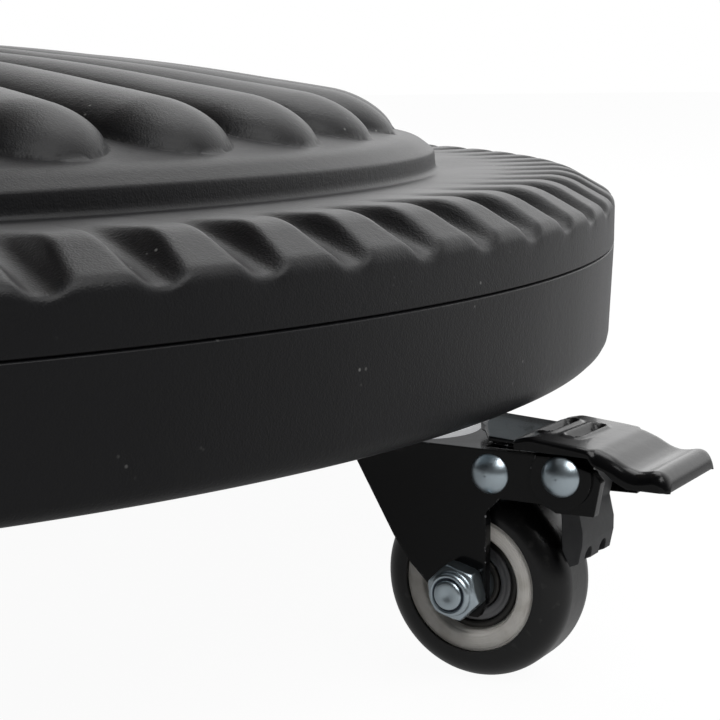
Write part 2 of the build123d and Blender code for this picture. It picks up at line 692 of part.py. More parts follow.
def pedal():
    """Foot pedal: flat root, grooved ridge, broad plate with skirts and lip, two ears on the pivot."""
    top = wheel_r + PEDAL_TOP_UP
    tip = TRAIL + PEDAL_TIP
    root = TRAIL + PEDAL_ROOT
    ridge = PEDAL_RIDGE_H
    dip = top - PEDAL_DIP
    upper = [
        (root, top + 0.6),
        (root + 12.1, top - 0.1),
        (root + 13.9, top + ridge * 0.8),
        (root + 16.4, top + ridge),
        (root + 18.5, top + ridge * 0.6),
        (root + 21.5, top + ridge * 0.3),
        (tip - 14.6, top - 0.1),
        (tip - 11.6, top - 0.9),
        (tip - 6.6, dip),
        (tip - 3.4, dip + 0.5),
        (tip - 1.3, dip),
        (tip, dip - 2.0),
        (tip, dip - PEDAL_LIP_H),
    ]
    lower = [
        (tip - PEDAL_T, dip - PEDAL_LIP_H),
        (tip - PEDAL_T, dip - 2.2),
        (tip - 2.0, dip - 0.75 * PEDAL_T),
        (tip - 3.6, dip + 0.5 - PEDAL_T),
        (tip - 6.7, dip - PEDAL_T),
        (tip - 11.9, top - 0.9 - PEDAL_T),
        (tip - 14.7, top - 0.1 - PEDAL_T),
        (root + 21.4, top + ridge * 0.3 - PEDAL_T),
        (root + 18.3, top + ridge * 0.6 - PEDAL_T),
        (root + 16.3, top + ridge - PEDAL_T),
        (root + 14.2, top + ridge * 0.8 - PEDAL_T),
        (root + 12.5, top - 0.1 - PEDAL_T),
        (root, top + 0.6 - PEDAL_T),
    ]
    body = side_plate(upper + lower, -PEDAL_W / 2, PEDAL_W / 2)
    skirt = [
        (tip - 12.0, top - PEDAL_SKIRT_H),
        (tip - 11.0, dip - 0.65 * PEDAL_SKIRT_H),
        (tip - 8.5, dip - PEDAL_SKIRT_H),
        (tip - 1.0, dip - PEDAL_LIP_H),
        (tip - 0.5, dip - 1.3),
        (tip - 1.3, dip - 0.3),
        (tip - 3.4, dip + 0.2),
        (tip - 6.6, dip - 0.3),
        (tip - 11.5, top - 1.4),
    ]
    for side in (-1, 1):
        ends = sorted((side * PEDAL_W / 2, side * (PEDAL_W / 2 - PEDAL_T)))
        body = body + side_plate(skirt, ends[0], ends[1])
    body = body & pedal_plan()
    groove_r = PEDAL_GROOVE_D / 2
    for along in (14.6, 17.6):
        height = top + ridge - PEDAL_GROOVE_DEPTH + groove_r
        body = body - crosswise(groove_r, -PEDAL_W, 0.7 * pedal_neck, root + along, height)
    pivot_x = TRAIL + PIVOT_OUT
    pivot_z = wheel_r + PIVOT_UP
    for side in (-1, 1):
        outer = side * pedal_neck
        inner = outer - side * EAR_T
        ends = sorted((inner, outer))
        eye = crosswise(EAR_R, ends[0], ends[1], pivot_x, pivot_z)
        web = side_plate([(pivot_x - EAR_R, pivot_z), (pivot_x + EAR_R, pivot_z),
                          (tip - 15.5, top - PEDAL_T / 2), (root + 14.5, top - PEDAL_T / 2)], ends[0], ends[1])
        body = body + eye + web
    hole = crosswise(RIVET_D / 2 + RUN_FIT, -PEDAL_W, PEDAL_W, pivot_x, pivot_z)
    return (body - hole).solid()


def brake_shoe():
    """Toothed shoe that hangs from the pivot between the ears and bites the tyre."""
    pivot_x = TRAIL + PIVOT_OUT
    pivot_z = wheel_r + PIVOT_UP
    low = pivot_z - SHOE_REACH
    touch = wheel_r + SHOE_GAP
    low_x = TRAIL + math.sqrt(touch**2 - (low - wheel_r) ** 2)
    eye_r = RIVET_D / 2 + 1.5
    outline = [
        (pivot_x - eye_r + 0.4, pivot_z - 1.5),
        (low_x - 1.9, low + 9.8),
        (low_x - 1.6, low + 3.2),
        (low_x, low),
        (low_x + SHOE_T * 0.7, low + 0.8),
        (low_x + SHOE_T, low + 4.5),
        (low_x + SHOE_T, low + 7.2),
        (low_x + SHOE_T * 0.6, low + 11.5),
        (pivot_x + eye_r - 0.2, pivot_z - 1.0),
    ]
    shoe = side_plate(outline, -SHOE_W / 2, SHOE_W / 2)
    shoe = shoe + crosswise(eye_r, -SHOE_W / 2, SHOE_W / 2, pivot_x, pivot_z)
    notch_top = low + SHOE_NOTCH_H - SHOE_NOTCH_W / 2
    for y in (-SHOE_NOTCH_OUT, SHOE_NOTCH_OUT):
        notch = upright_box(6 * SHOE_T, SHOE_NOTCH_W, low - 2, notch_top, x=low_x, y=y)
        end = Pos(low_x, y, notch_top) * Rot(0, 90, 0) * Cylinder(SHOE_NOTCH_W / 2, 6 * SHOE_T)
        shoe = shoe - notch - end
    return (shoe - crosswise(RIVET_D / 2 + RUN_FIT, -SHOE_W, SHOE_W, pivot_x, pivot_z)).solid()


def column_collar():
    """Cone-shaped trim round the column's foot."""
    bore = COLUMN_D / 2 + FACE_GAP
    low = plateau_z
    face = ring_face((bore, low), (COLLAR_D / 2, low), (COLLAR_D / 2, low + 3.0), (bore + 5.0, low + COLLAR_H),
                     (bore, low + COLLAR_H))
    face = rounded(face, COLLAR_D / 2, low + 3.0, 2.5)
    face = rounded(face, bore + 5.0, low + COLLAR_H, 2.0)
    return turned(face)


def stand_tube():
    """Outer column tube: tapered foot, end plate with the rod's hole."""
    outer = COLUMN_D / 2
    inner = outer - COLUMN_WALL
    hole = ROD_D / 2 + RUN_FIT
    return turned(ring_face(
        (hole, column_low),
        (outer - COLUMN_TAPER, column_low),
        (outer, hub_top),
        (outer, column_top),
        (inner, column_top),
        (inner, hub_top),
        (inner - COLUMN_TAPER, column_low + COLUMN_END_T),
        (hole, column_low + COLUMN_END_T),
    ))


def guide_bush():
    """Sliding bush in the column's mouth."""
    bore = LIFT_TUBE_D / 2 + RUN_FIT
    outer = COLUMN_D / 2 - COLUMN_WALL - RUN_FIT
    return turned(ring_face(
        (bore, column_top - BUSH_L),
        (outer, column_top - BUSH_L),
        (outer, column_top),
        (COLUMN_D / 2, column_top),
        (COLUMN_D / 2 - 1.5, bush_top),
        (bore, bush_top),
    ))


def piston_rod():
    """Rod that turns in the column's end plate, with its collar, foot and piston."""
    rod = ROD_D / 2
    end_top = column_low + COLUMN_END_T
    tube_in = LIFT_TUBE_D / 2 - LIFT_TUBE_WALL
    return turned(ring_face(
        (0, column_low - FACE_GAP - 2.5),
        (ROD_COLLAR_D / 2, column_low - FACE_GAP - 2.5),
        (ROD_COLLAR_D / 2, column_low - FACE_GAP),
        (rod, column_low - FACE_GAP),
        (rod, end_top + FACE_GAP),
        (ROD_COLLAR_D / 2, end_top + FACE_GAP),
        (ROD_COLLAR_D / 2, end_top + FACE_GAP + ROD_COLLAR_H),
        (rod, end_top + FACE_GAP + ROD_COLLAR_H),
        (rod, piston_low),
        (tube_in - PISTON_FIT, piston_low),
        (tube_in - PISTON_FIT, piston_low + PISTON_T),
        (0, piston_low + PISTON_T),
    ))


def lift_tube():
    """Gas cylinder: gland at its foot, tapered plug with the valve bore at its head."""
    outer = LIFT_TUBE_D / 2
    inner = outer - LIFT_TUBE_WALL
    gland = ROD_D / 2 + RUN_FIT
    bore = RELEASE_PIN_D / 2 + RUN_FIT
    bore_low = release_top - RELEASE_PIN_L - 4.0
    outside = ring_face(
        (0, lift_low),
        (outer, lift_low),
        (outer, socket_low),
        (outer - SOCKET_TAPER, socket_top),
        (0, socket_top),
    )
    chamber = ring_face((0, lift_low + GLAND_T), (inner, lift_low + GLAND_T), (inner, bore_low - 6.0), (0, bore_low - 6.0))
    tube = turned(outside) - turned(chamber)
    tube = tube - upright(gland, lift_low - 1, lift_low + GLAND_T + 1)
    return (tube - upright(bore, bore_low, socket_top + 1)).solid()


def release_pin():
    """Valve pin with a domed head under the lever."""
    pin_r = RELEASE_PIN_D / 2
    pin = upright(pin_r, release_top - RELEASE_PIN_L, release_top)
    return fillet(pin.faces().sort_by(Axis.Z)[-1].edges(), pin_r * 0.7).solid()


def seat_plate():
    """Socket, lever housing and bolting plate, welded together."""
    bore_low = LIFT_TUBE_D / 2 + RUN_FIT
    socket = turned(ring_face(
        (bore_low, socket_low),
        (SOCKET_D / 2, socket_low),
        (SOCKET_D / 2, socket_top),
        (bore_low - SOCKET_TAPER, socket_top),
    ))
    floor = upright_box(HOUSING_L, HOUSING_W, socket_top, housing_floor)
    floor = floor - upright(RELEASE_PIN_D / 2 + WALL_GAP, socket_top - 1, housing_floor + 1)
    plate = upright_box(SEAT_PLATE_SIDE, SEAT_PLATE_SIDE, seat_plate_low, seat_plate_top)
    plate = fillet(plate.edges().filter_by(Axis.Z), 14.0)
    body = socket + floor + plate
    for side in (-1, 1):
        wall = upright_box(HOUSING_L, HOUSING_T, socket_top, seat_plate_low, y=side * (HOUSING_W - HOUSING_T) / 2)
        body = body + wall
    body = body - crosswise(LEVER_PIN_D / 2 + HOLE_FIT, -HOUSING_W, HOUSING_W, LEVER_PIVOT_OUT, lever_z)
    for x, y in bolt_places():
        body = body - upright(SEAT_BOLT_D / 2 + HOLE_FIT, seat_plate_low - 1, seat_plate_top + 1, x=x, y=y)
    return body.solid()


def bolt_places():
    """Places of the seat bolts."""
    half = SEAT_BOLT_SPACING / 2
    return [(half, half), (-half, half), (-half, -half), (half, -half)]


def seat_bolts():
    """Bolts up through the seat plate into the board."""
    bolts = []
    for x, y in bolt_places():
        head = upright(SEAT_BOLT_HEAD_D / 2, seat_plate_low - SEAT_BOLT_HEAD_H, seat_plate_low, x=x, y=y)
        head = fillet(head.faces().sort_by(Axis.Z)[0].edges(), SEAT_BOLT_HEAD_H / 3)
        socket = Pos(x, y, seat_plate_low - SEAT_BOLT_HEAD_H) * extrude(RegularPolygon(2.3, 6), 2.0)
        shank = upright(SEAT_BOLT_D / 2, seat_plate_low, seat_plate_top + SEAT_BOLT_GRIP, x=x, y=y)
        bolts.append((head - socket + shank).solid())
    return bolts


def lever_pin():
    """Pin that the height lever turns on."""
    end = HOUSING_W / 2 + 1.5
    return crosswise(LEVER_PIN_D / 2, -end, end, LEVER_PIVOT_OUT, lever_z).solid()


def lever_slope():
    """Fall of the lever's outer rod, in degrees."""
    return math.degrees(math.atan2(LEVER_FALL, LEVER_REACH - LEVER_BEND_OUT))


def lever_rod_place(along):
    """Place on the lever's outer rod, with +X along it."""
    return Pos(LEVER_BEND_OUT, 0, lever_z) * Rot(0, lever_slope(), 0) * Pos(along, 0, 0)


def height_lever():
    """Flat bar over the release pin, bent down into a round rod."""
    start = -LEVER_TAIL
    bar = upright_box(LEVER_BEND_OUT - start, LEVER_BAR_W, lever_z - LEVER_BAR_H / 2, lever_z + LEVER_BAR_H / 2,
                      x=(LEVER_BEND_OUT + start) / 2)
    length = rod_length()
    rod = lever_rod_place(length / 2 - 2.0) * Rot(0, 90, 0) * Cylinder(LEVER_D / 2, length + 4.0)
    hole = crosswise(LEVER_PIN_D / 2 + RUN_FIT, -LEVER_BAR_W, LEVER_BAR_W, LEVER_PIVOT_OUT, lever_z)
    return (bar + rod - hole).solid()


def rod_length():
    """Length of the lever's outer rod."""
    return math.hypot(LEVER_REACH - LEVER_BEND_OUT, LEVER_FALL)


def lever_grip():
    """Flat paddle pushed over the rod's end."""
    length = rod_length()
    grip = lever_rod_place(length + 6.0 - GRIP_L / 2) * Box(GRIP_L, GRIP_W, GRIP_T)
    grip = fillet(grip.edges(), 4.5)
    bore = lever_rod_place(length / 2 - 2.0) * Rot(0, 90, 0) * Cylinder(LEVER_D / 2 + RUN_FIT, length + 4.0 + 2 * RUN_FIT)
    return (grip - bore).solid()


def seat_board():
    """Round board under the padding."""
    board = upright(BOARD_D / 2, seat_plate_top, board_top)
    for x, y in bolt_places():
        board = board - upright(SEAT_BOLT_D / 2 + HOLE_FIT, seat_plate_top - 1, seat_plate_top + SEAT_BOLT_GRIP + 0.5, x=x, y=y)
    return board.solid()


def seat_cushion():
    """Padded seat: crowned top, drawn-in side, cover wrapped down over the board's edge."""
    outer = CUSHION_D / 2
    edge = outer - CUSHION_EDGE_IN
    low = board_top - CUSHION_WRAP
    top = board_top + CUSHION_H
    shoulder = top - CUSHION_CROWN
    inner = BOARD_D / 2 + FACE_GAP
    side_mid = (low + shoulder) / 2
    outline = [
        Polyline((0, 0, board_top), (inner, 0, board_top), (inner, 0, low), (edge, 0, low)),
        Spline((edge, 0, low), (outer - 1.0, 0, low + 12.0), (outer - 3.0, 0, side_mid), (outer, 0, shoulder - 12.0),
               (edge + 2.0, 0, shoulder + 1.0)),
        Spline((edge + 2.0, 0, shoulder + 1.0), (edge * 0.78, 0, top - 4.0), (edge * 0.4, 0, top - 0.8), (0, 0, top),
               tangents=((-1, 0, 0.75), (-1, 0, 0))),
        Line((0, 0, top), (0, 0, board_top)),
    ]
    return turned(make_face(outline).face())


os.makedirs("parts", exist_ok=True)


def save(name, *solids):
    """Write one node."""
    shape = solids[0] if len(solids) == 1 else Compound(list(solids))
    export_step(shape, f"parts/{name}.step")


save("base_upper_shell", upper_shell())
save("base_lower_shell", lower_shell())
save("shell_screws", *shell_screws())
save("base_frame", base_frame())
save("caster_plates", *caster_plates())
save("caster_screws", *caster_screws())
save("caster_kingpins", *caster_kingpins())
save("column_collar", column_collar())
save("stand_tube", stand_tube())
save("guide_bush", guide_bush())
save("piston_rod", piston_rod())
save("lift_tube", lift_tube())
save("release_pin", release_pin())
save("seat_plate", seat_plate())
save("seat_bolts", *seat_bolts())
save("lever_pin", lever_pin())
save("height_lever", height_lever())
save("lever_grip", lever_grip())
save("seat_board", seat_board())
save("seat_cushion", seat_cushion())

caster_pieces = {
    "fork": [fork()],
    "rivets": fork_rivets(),
    "axle": axle_set(),
    "wheel_core": [wheel_core()],
    "tyre": [tyre()],
    "bearings": wheel_bearings(),
    "brake_pedal": [pedal()],
    "brake_shoe": [brake_shoe()],
}
for number, angle in enumerate(caster_angles, 1):
    place = Rot(0, 0, angle) * Pos(king_r, 0, 0) * Rot(0, 0, CASTER_SWIVEL)
    for piece, solids in caster_pieces.items():
        save(f"caster_{number}_{piece}", *[(place * solid) for solid in solids])
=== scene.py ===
"""Looks of the adjustable swivel stool: platform base, braked casters, gas lift column and padded seat."""

import json
import math

import bmesh
import bpy
import numpy as np
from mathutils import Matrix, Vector


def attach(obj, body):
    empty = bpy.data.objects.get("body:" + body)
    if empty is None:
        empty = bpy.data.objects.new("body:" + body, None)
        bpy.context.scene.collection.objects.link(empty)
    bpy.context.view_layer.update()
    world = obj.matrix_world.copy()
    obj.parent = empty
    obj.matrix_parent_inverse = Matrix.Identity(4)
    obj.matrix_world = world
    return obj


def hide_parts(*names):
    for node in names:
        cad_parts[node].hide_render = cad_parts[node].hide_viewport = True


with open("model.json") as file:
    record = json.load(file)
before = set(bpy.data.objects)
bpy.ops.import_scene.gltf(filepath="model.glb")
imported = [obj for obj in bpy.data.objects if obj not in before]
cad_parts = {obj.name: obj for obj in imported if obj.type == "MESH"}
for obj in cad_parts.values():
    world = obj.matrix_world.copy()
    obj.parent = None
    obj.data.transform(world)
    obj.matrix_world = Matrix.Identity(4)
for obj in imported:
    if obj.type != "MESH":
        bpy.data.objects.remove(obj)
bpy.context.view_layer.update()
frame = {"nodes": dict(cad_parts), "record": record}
MM = 0.001
SIDES = (-1, 1)

# Platform base, in millimetres
BASE_R = 250.0
BASE_LOW = 56.0
SEAM_Z = 80.9
RIM_Z = 97.5
RING_Z = 96.5
STEP_R = 207.0
DECK_R = 196.8
DECK_Z = 105.5
DECK_BULGE = 2.575
PLATEAU_R = 90.0
PLATEAU_Z = 122.2
HUB_HOLE_R = 32.5
PAN_HOLE_R = 14.0
PAN_WALL = 4.0
TOP_COLUMNS = 1760
PAN_COLUMNS = 480

# Flutes round the rim, in millimetres and degrees, with their slope in radians
FLUTES = 80
FLUTE_PHASE = 1.7
FLUTE_START_R = 225.0
FLUTE_SLOPE = math.atan2(7.7, 25.0)
FLUTE_DEPTH = 8.0
FLUTE_HALF = 6.3
FLUTE_POWER = 2.7
FLUTE_SOFT = 1.1

# Fingers on the deck, in millimetres and degrees; fill and rise are given at radii
FINGERS = 36
FINGER_PHASE = 5.6
FINGER_INNER_R = 66.0
FINGER_TIP_R = 182.4
FINGER_FILL = ([60, 120, 165, 200], [0.975, 0.985, 0.965, 0.92])
FINGER_RISE = ([FINGER_INNER_R, 98, 120, 143, 165, 182], [4.6, 5.0, 4.9, 5.5, 6.0, 6.9])
FINGER_POWER = 0.6

# Casters, in millimetres and degrees
CASTERS = range(1, 6)
FIRST_CASTER = 90.0
KING_R = 219.6
SWIVEL = -4.7
TRAIL = 17.5
WHEEL_R = 20.0
FORK_SIDE = 12.2
NUT_ACROSS = 10.0
NUT_TURN = 15.0
AXLE_COLUMNS = 96

# Brake pedals, in millimetres along the trail from the axle, across and above the floor
PEDAL_STEPS = 150
PEDAL_FLAT_STEPS = 42
PEDAL_SKIRT_STEPS = 4
PEDAL_LEAST = 0.1
PEDAL_SHEET = 1.4
PIVOT = (21.0, 44.9)
EAR_R = 5.0
EAR_FACES = (8.3, 9.7)
GROOVES = (14.6, 20.4)
GROOVE_HALF_W = 1.15
GROOVE_HALF_L = 5.6
GROOVE_MIDDLE = 0.5
GROOVE_SLANT = 0.03
GROOVE_DEPTH = 1.3
GROOVE_LIP = 0.40
GROOVE_LIP_AT = 1.6
GROOVE_LIP_SPREAD = 0.4

# Seat, in millimetres
BOARD_R = 165.0
BOARD_TOP = 392.5
SEAT_R = 181.0
SEAT_TOP = 464.5
SEAT_LOW = 383.5
PAD_COLUMNS = 160
PAD_STEPS = 60
REACH_COLUMNS = 240
REACH_BAND = 3.5
WELT_SIDES = 12
THREAD_SIDES = 6
THREAD_R = 0.5
STITCH_PITCH = 8.5
STITCH_L = 5.6
STITCH_ARCH = ((-0.5, -0.7), (-0.32, 0.15), (0.0, 0.3), (0.32, 0.15), (0.5, -0.7))

# Swelling of the seat's pad, with its lengths in millimetres
SWELL_INSET = 1.6
SWELL_VOXEL = 5.0
SWELL_PRESSURE = 4.0
SWELL_STIFFNESS = 30.0
SWELL_FRAMES = 20
SWELL_RANGE = (-0.2, 1.8)
SWELL_CAP = 2.5

# Floor, in metres, and the shares of its glow that the camera and reflections see
FLOOR_HALF = 6.0
FLOOR_GREY = 0.30
FLOOR_GLOW = 1.085
GLOW_SEEN = 0.88
GLOW_REFLECTED = 0.30

# Sky: dim behind the camera, bright towards a turn in degrees, and weaker near the horizon
SKY_FRONT = 0.05
SKY_BACK = 1.95
SKY_TURN = 48.0
SKY_SWEEP = (-0.25, 0.75)
SKY_HORIZON = 0.25
SKY_FULL = 0.17

# Camera, in metres and degrees, with its lens and sensor in millimetres
CAMERA_PLACE = (-0.0559, -0.4902, 0.12185)
CAMERA_TURN = 61.09
CAMERA_TILT = -9.30
CAMERA_LENS = 90.155
CAMERA_SENSOR = 36.0


class Value:
    """A shader socket that takes part in Python expressions."""

    def __init__(self, finish, socket):
        self.finish = finish
        self.socket = socket

    def math(self, operation, *others):
        return self.finish.add("ShaderNodeMath", {"operation": operation}, [self, *others])

    def __add__(self, other):
        return self.math("ADD", other)

    def __radd__(self, other):
        return self.math("ADD", other)

    def __sub__(self, other):
        return self.math("SUBTRACT", other)

    def __rsub__(self, other):
        return self.finish.add("ShaderNodeMath", {"operation": "SUBTRACT"}, [other, self])

    def __mul__(self, other):
        return self.math("MULTIPLY", other)

    def __rmul__(self, other):
        return self.math("MULTIPLY", other)

    def between(self, low, high):
        """0 below low, 1 above high, smooth in between."""
        return self.finish.add("ShaderNodeMapRange", {"interpolation_type": "SMOOTHSTEP"},
                               {"Value": self, "From Min": low, "From Max": high})


class Finish:
    """A material or sky whose nodes are added by one method."""

    def __init__(self, name, sky=False, **shader):
        self.material = bpy.data.worlds.new(name) if sky else bpy.data.materials.new(name)
        self.material.use_nodes = True
        self.nodes = self.material.node_tree.nodes
        self.links = self.material.node_tree.links
        self.shader = self.nodes["Background" if sky else "Principled BSDF"]
        self.use(**shader)

    def set(self, node, key, value):
        """Set or link one input of a node."""
        socket = node.inputs[key]
        if isinstance(value, Value):
            self.links.new(value.socket, socket)
        elif isinstance(value, bpy.types.NodeSocket):
            self.links.new(value, socket)
        elif isinstance(value, tuple) and len(value) == 3 and socket.type == "RGBA":
            socket.default_value = (*value, 1.0)
        else:
            socket.default_value = value

    def add(self, kind, settings, inputs, output=0):
        """One node of a kind, with its settings and its inputs' values or links."""
        node = self.nodes.new(kind)
        for key, value in settings.items():
            setattr(node, key, value)
        pairs = enumerate(inputs) if isinstance(inputs, list) else inputs.items()
        for key, value in pairs:
            self.set(node, key, value)
        return Value(self, node.outputs[output])

    def place(self):
        """Position on the piece, in metres."""
        return self.add("ShaderNodeTexCoord", {}, {}, "Object")

    def ray(self, kind):
        """1 for rays of a kind, else 0."""
        return self.add("ShaderNodeLightPath", {}, {}, f"Is {kind} Ray")

    def noise(self, scale, detail=3.0, roughness=0.5, vector=None):
        """Cloudy pattern from 0 to 1."""
        inputs = {"Vector": vector or self.place(), "Scale": scale, "Detail": detail, "Roughness": roughness}
        return self.add("ShaderNodeTexNoise", {}, inputs)

    def cells(self, scale, feature="F1"):
        """Distances in a pattern of cells."""
        inputs = {"Vector": self.place(), "Scale": scale}
        return self.add("ShaderNodeTexVoronoi", {"feature": feature}, inputs, "Distance")

    def stretched(self, x, y, z):
        """Position scaled along its axes."""
        return self.add("ShaderNodeMapping", {}, {"Vector": self.place(), "Scale": (x, y, z)})

    def mix(self, amount, first, second):
        """Colour that goes from first to second."""
        return self.add("ShaderNodeMix", {"data_type": "RGBA"}, {0: amount, 6: first, 7: second}, 2)

    def grain(self, height, strength, depth, under=None):
        """Bump from a height."""
        inputs = {"Height": height, "Strength": strength, "Distance": depth}
        if under is not None:
            inputs["Normal"] = under
        return self.add("ShaderNodeBump", {}, inputs)

    def soft_edges(self, radius):
        """Normal rounded over sharp edges."""
        return self.add("ShaderNodeBevel", {"samples": 4}, {"Radius": radius})

    def use(self, **sockets):
        """Feed the shader."""
        for socket, value in sockets.items():
            self.set(self.shader, socket.replace("_", " "), value)
        return self.material


def base_plastic():
    """Black moulded plastic: fine grain, shallow pits, flow streaks and specks of dust."""
    f = Finish("moulded_plastic", IOR=1.26, Sheen_Weight=0.03, Sheen_Roughness=0.3,
               Sheen_Tint=(0.9, 0.92, 1.0))
    grain = f.noise(2600.0, 2.0)
    flow = f.noise(30.0, 4.0, vector=f.stretched(1.0, 1.0, 0.25))
    smear = f.noise(9.0, 3.0)
    specks = 1 - f.cells(380.0).between(0.06, 0.16)
    rare = f.noise(60.0, 2.0).between(0.60, 0.70)
    colour = f.mix(smear.between(0.35, 0.7), (0.0040, 0.0040, 0.0046), (0.0060, 0.0060, 0.0067))
    colour = f.mix(specks * rare * 0.4, colour, (0.30, 0.30, 0.29))
    rough = 0.34 + 0.10 * flow + 0.05 * grain
    pits = f.noise(700.0, 3.0, 0.6)
    bump = f.grain(grain + 0.5 * flow + 0.9 * pits, 0.34, 0.0002)
    return f.use(Base_Color=colour, Roughness=rough, Normal=bump)


def black_enamel():
    """Glossy black paint on pressed steel, with orange peel and bare metal where its edges are chipped."""
    f = Finish("black_enamel", IOR=1.45, Coat_Roughness=0.05, Specular_IOR_Level=0.12)
    peel = f.noise(420.0, 2.0)
    haze = f.noise(70.0, 3.0)
    round_edge = f.soft_edges(0.0007)
    face = f.add("ShaderNodeNewGeometry", {}, {}, "Normal")
    flatness = f.add("ShaderNodeVectorMath", {"operation": "DOT_PRODUCT"}, [round_edge, face], "Value")
    chips = f.noise(900.0, 4.0, 0.6).between(0.55, 0.63) * f.noise(120.0, 2.0).between(0.5, 0.6)
    bare = (1 - flatness.between(0.80, 0.93)) * chips
    colour = f.mix(bare, f.mix(haze, (0.0025, 0.0025, 0.0028), (0.0050, 0.0050, 0.0053)), (0.45, 0.45, 0.46))
    rough = 0.17 + 0.12 * haze + 0.15 * bare
    bump = f.grain(peel, 0.08, 0.0004, round_edge)
    coat = 0.18 - 0.18 * bare
    return f.use(Base_Color=colour, Roughness=rough, Metallic=bare, Coat_Weight=coat, Normal=bump)


def zinc_plate():
    """Bright zinc on rivets, axles, screws and bolts, and on the casters' plates."""
    f = Finish("zinc_plate", Metallic=1.0)
    mottle = f.noise(260.0, 3.0)
    tint = f.noise(90.0, 2.0)
    colour = f.mix(tint, (0.37, 0.43, 0.47), (0.47, 0.54, 0.58))
    bump = f.grain(f.noise(1500.0, 2.0), 0.12, 0.0001, f.soft_edges(0.0003))
    return f.use(Base_Color=colour, Roughness=0.24 + 0.18 * mottle, Normal=bump)


def tyre_rubber():
    """Glossy black tread with faint marks and dust."""
    f = Finish("tyre_rubber", IOR=1.4)
    marks = f.noise(600.0, 2.0)
    smear = f.noise(60.0, 4.0)
    dust = f.noise(420.0, 3.0).between(0.60, 0.75)
    colour = f.mix(dust * 0.4, (0.005, 0.005, 0.0054), (0.04, 0.04, 0.038))
    return f.use(Base_Color=colour, Roughness=0.22 + 0.16 * smear, Normal=f.grain(marks, 0.08, 0.0003))


def hub_plastic():
    """Off-white plastic of the hub ring, a little stained."""
    f = Finish("hub_plastic", IOR=1.49)
    stain = f.noise(220.0, 4.0)
    colour = f.mix(stain.between(0.45, 0.75), (0.86, 0.83, 0.78), (0.70, 0.67, 0.61))
    bump = f.grain(stain, 0.08, 0.0003, f.soft_edges(0.0003))
    return f.use(Base_Color=colour, Roughness=0.32 + 0.15 * stain, Normal=bump)


def bearing_shield():
    """Grey pressed shield of a ball bearing."""
    f = Finish("bearing_shield", IOR=1.5)
    smear = f.noise(300.0, 3.0)
    colour = f.mix(smear, (0.13, 0.13, 0.135), (0.20, 0.20, 0.205))
    return f.use(Base_Color=colour, Roughness=0.42 + 0.15 * smear, Metallic=0.5, Normal=f.soft_edges(0.0002))


def bearing_race():
    """Dark steel of the bearing's races, its colour darkened as painted shade for their sunk place in the
    hub.
    """
    f = Finish("bearing_race", IOR=1.5)
    race_mottle = f.noise(420.0, 4.0)
    # Painted shade: both colours are near-black to stand in for the shade in the hub's recess; the noise only
    # varies the tone.
    colour = f.mix(race_mottle, (0.012, 0.011, 0.010), (0.040, 0.038, 0.034))
    return f.use(Base_Color=colour, Roughness=0.3 + 0.2 * race_mottle, Metallic=0.4, Normal=f.soft_edges(0.0002))


def race_painted_glow():
    """Pale zinc of the casters' ball races, with a painted glow: emission that stands in for the floor's
    light on them.
    """
    # Painted light: the emission makes the races glow though they are no lamp.
    f = Finish("race_painted_glow", IOR=1.5, Emission_Color=(0.97, 0.98, 1.0), Emission_Strength=0.4)
    bloom = f.noise(180.0, 4.0)
    colour = f.mix(bloom, (0.94, 0.95, 0.96), (0.84, 0.85, 0.86))
    return f.use(Base_Color=colour, Roughness=0.4 + 0.2 * bloom)


def shoe_steel():
    """Dark grey phosphated steel of the brake shoe."""
    f = Finish("phosphated_steel", IOR=1.5)
    mottle = f.noise(380.0, 4.0, 0.6)
    colour = f.mix(mottle, (0.030, 0.031, 0.033), (0.065, 0.066, 0.068))
    return f.use(Base_Color=colour, Roughness=0.5 + 0.2 * mottle, Metallic=0.35,
                 Normal=f.grain(mottle, 0.2, 0.0003, f.soft_edges(0.0005)))


def seat_vinyl():
    """Black upholstery vinyl with a pebbled grain, with painted shade darkening the grain's creases."""
    f = Finish("seat_vinyl", IOR=1.48)
    pebbles = f.cells(520.0, "SMOOTH_F1")
    shaded_creases = f.cells(520.0, "DISTANCE_TO_EDGE").between(0.0, 0.14)
    wear = f.noise(14.0, 4.0).between(0.5, 0.75)
    # Painted shade: the colour goes darker in the grain's creases; the same mask also bumps them.
    colour = f.mix(shaded_creases, (0.010, 0.010, 0.0105), (0.020, 0.020, 0.021))
    colour = f.mix(wear * 0.35, colour, (0.032, 0.031, 0.031))
    rough = 0.42 + 0.12 * pebbles - 0.06 * wear
    return f.use(Base_Color=colour, Roughness=rough, Normal=f.grain(shaded_creases - 0.4 * pebbles, 0.35, 0.00035))


def stitch_thread():
    """Matt dark grey sewing thread."""
    f = Finish("stitch_thread", IOR=1.45)
    twist = f.noise(3000.0, 2.0)
    colour = f.mix(twist, (0.05, 0.05, 0.052), (0.10, 0.10, 0.10))
    return f.use(Base_Color=colour, Roughness=0.75 + 0.1 * twist)


def nut_insert():
    """Dark blue nylon insert of the lock nuts."""
    f = Finish("nut_insert", IOR=1.5)
    stain = f.noise(500.0, 3.0)
    colour = f.mix(stain, (0.012, 0.018, 0.035), (0.03, 0.04, 0.06))
    return f.use(Base_Color=colour, Roughness=0.4 + 0.2 * stain)


def trim_plastic():
    """Satin black plastic of collar, bush and grip."""
    f = Finish("trim_plastic", IOR=1.46)
    grain = f.noise(1800.0, 2.0)
    smear = f.noise(40.0, 3.0)
    colour = f.mix(smear, (0.016, 0.016, 0.017), (0.026, 0.026, 0.027))
    bump = f.grain(grain, 0.2, 0.00015, f.soft_edges(0.0006))
    return f.use(Base_Color=colour, Roughness=0.38 + 0.12 * smear, Normal=bump)


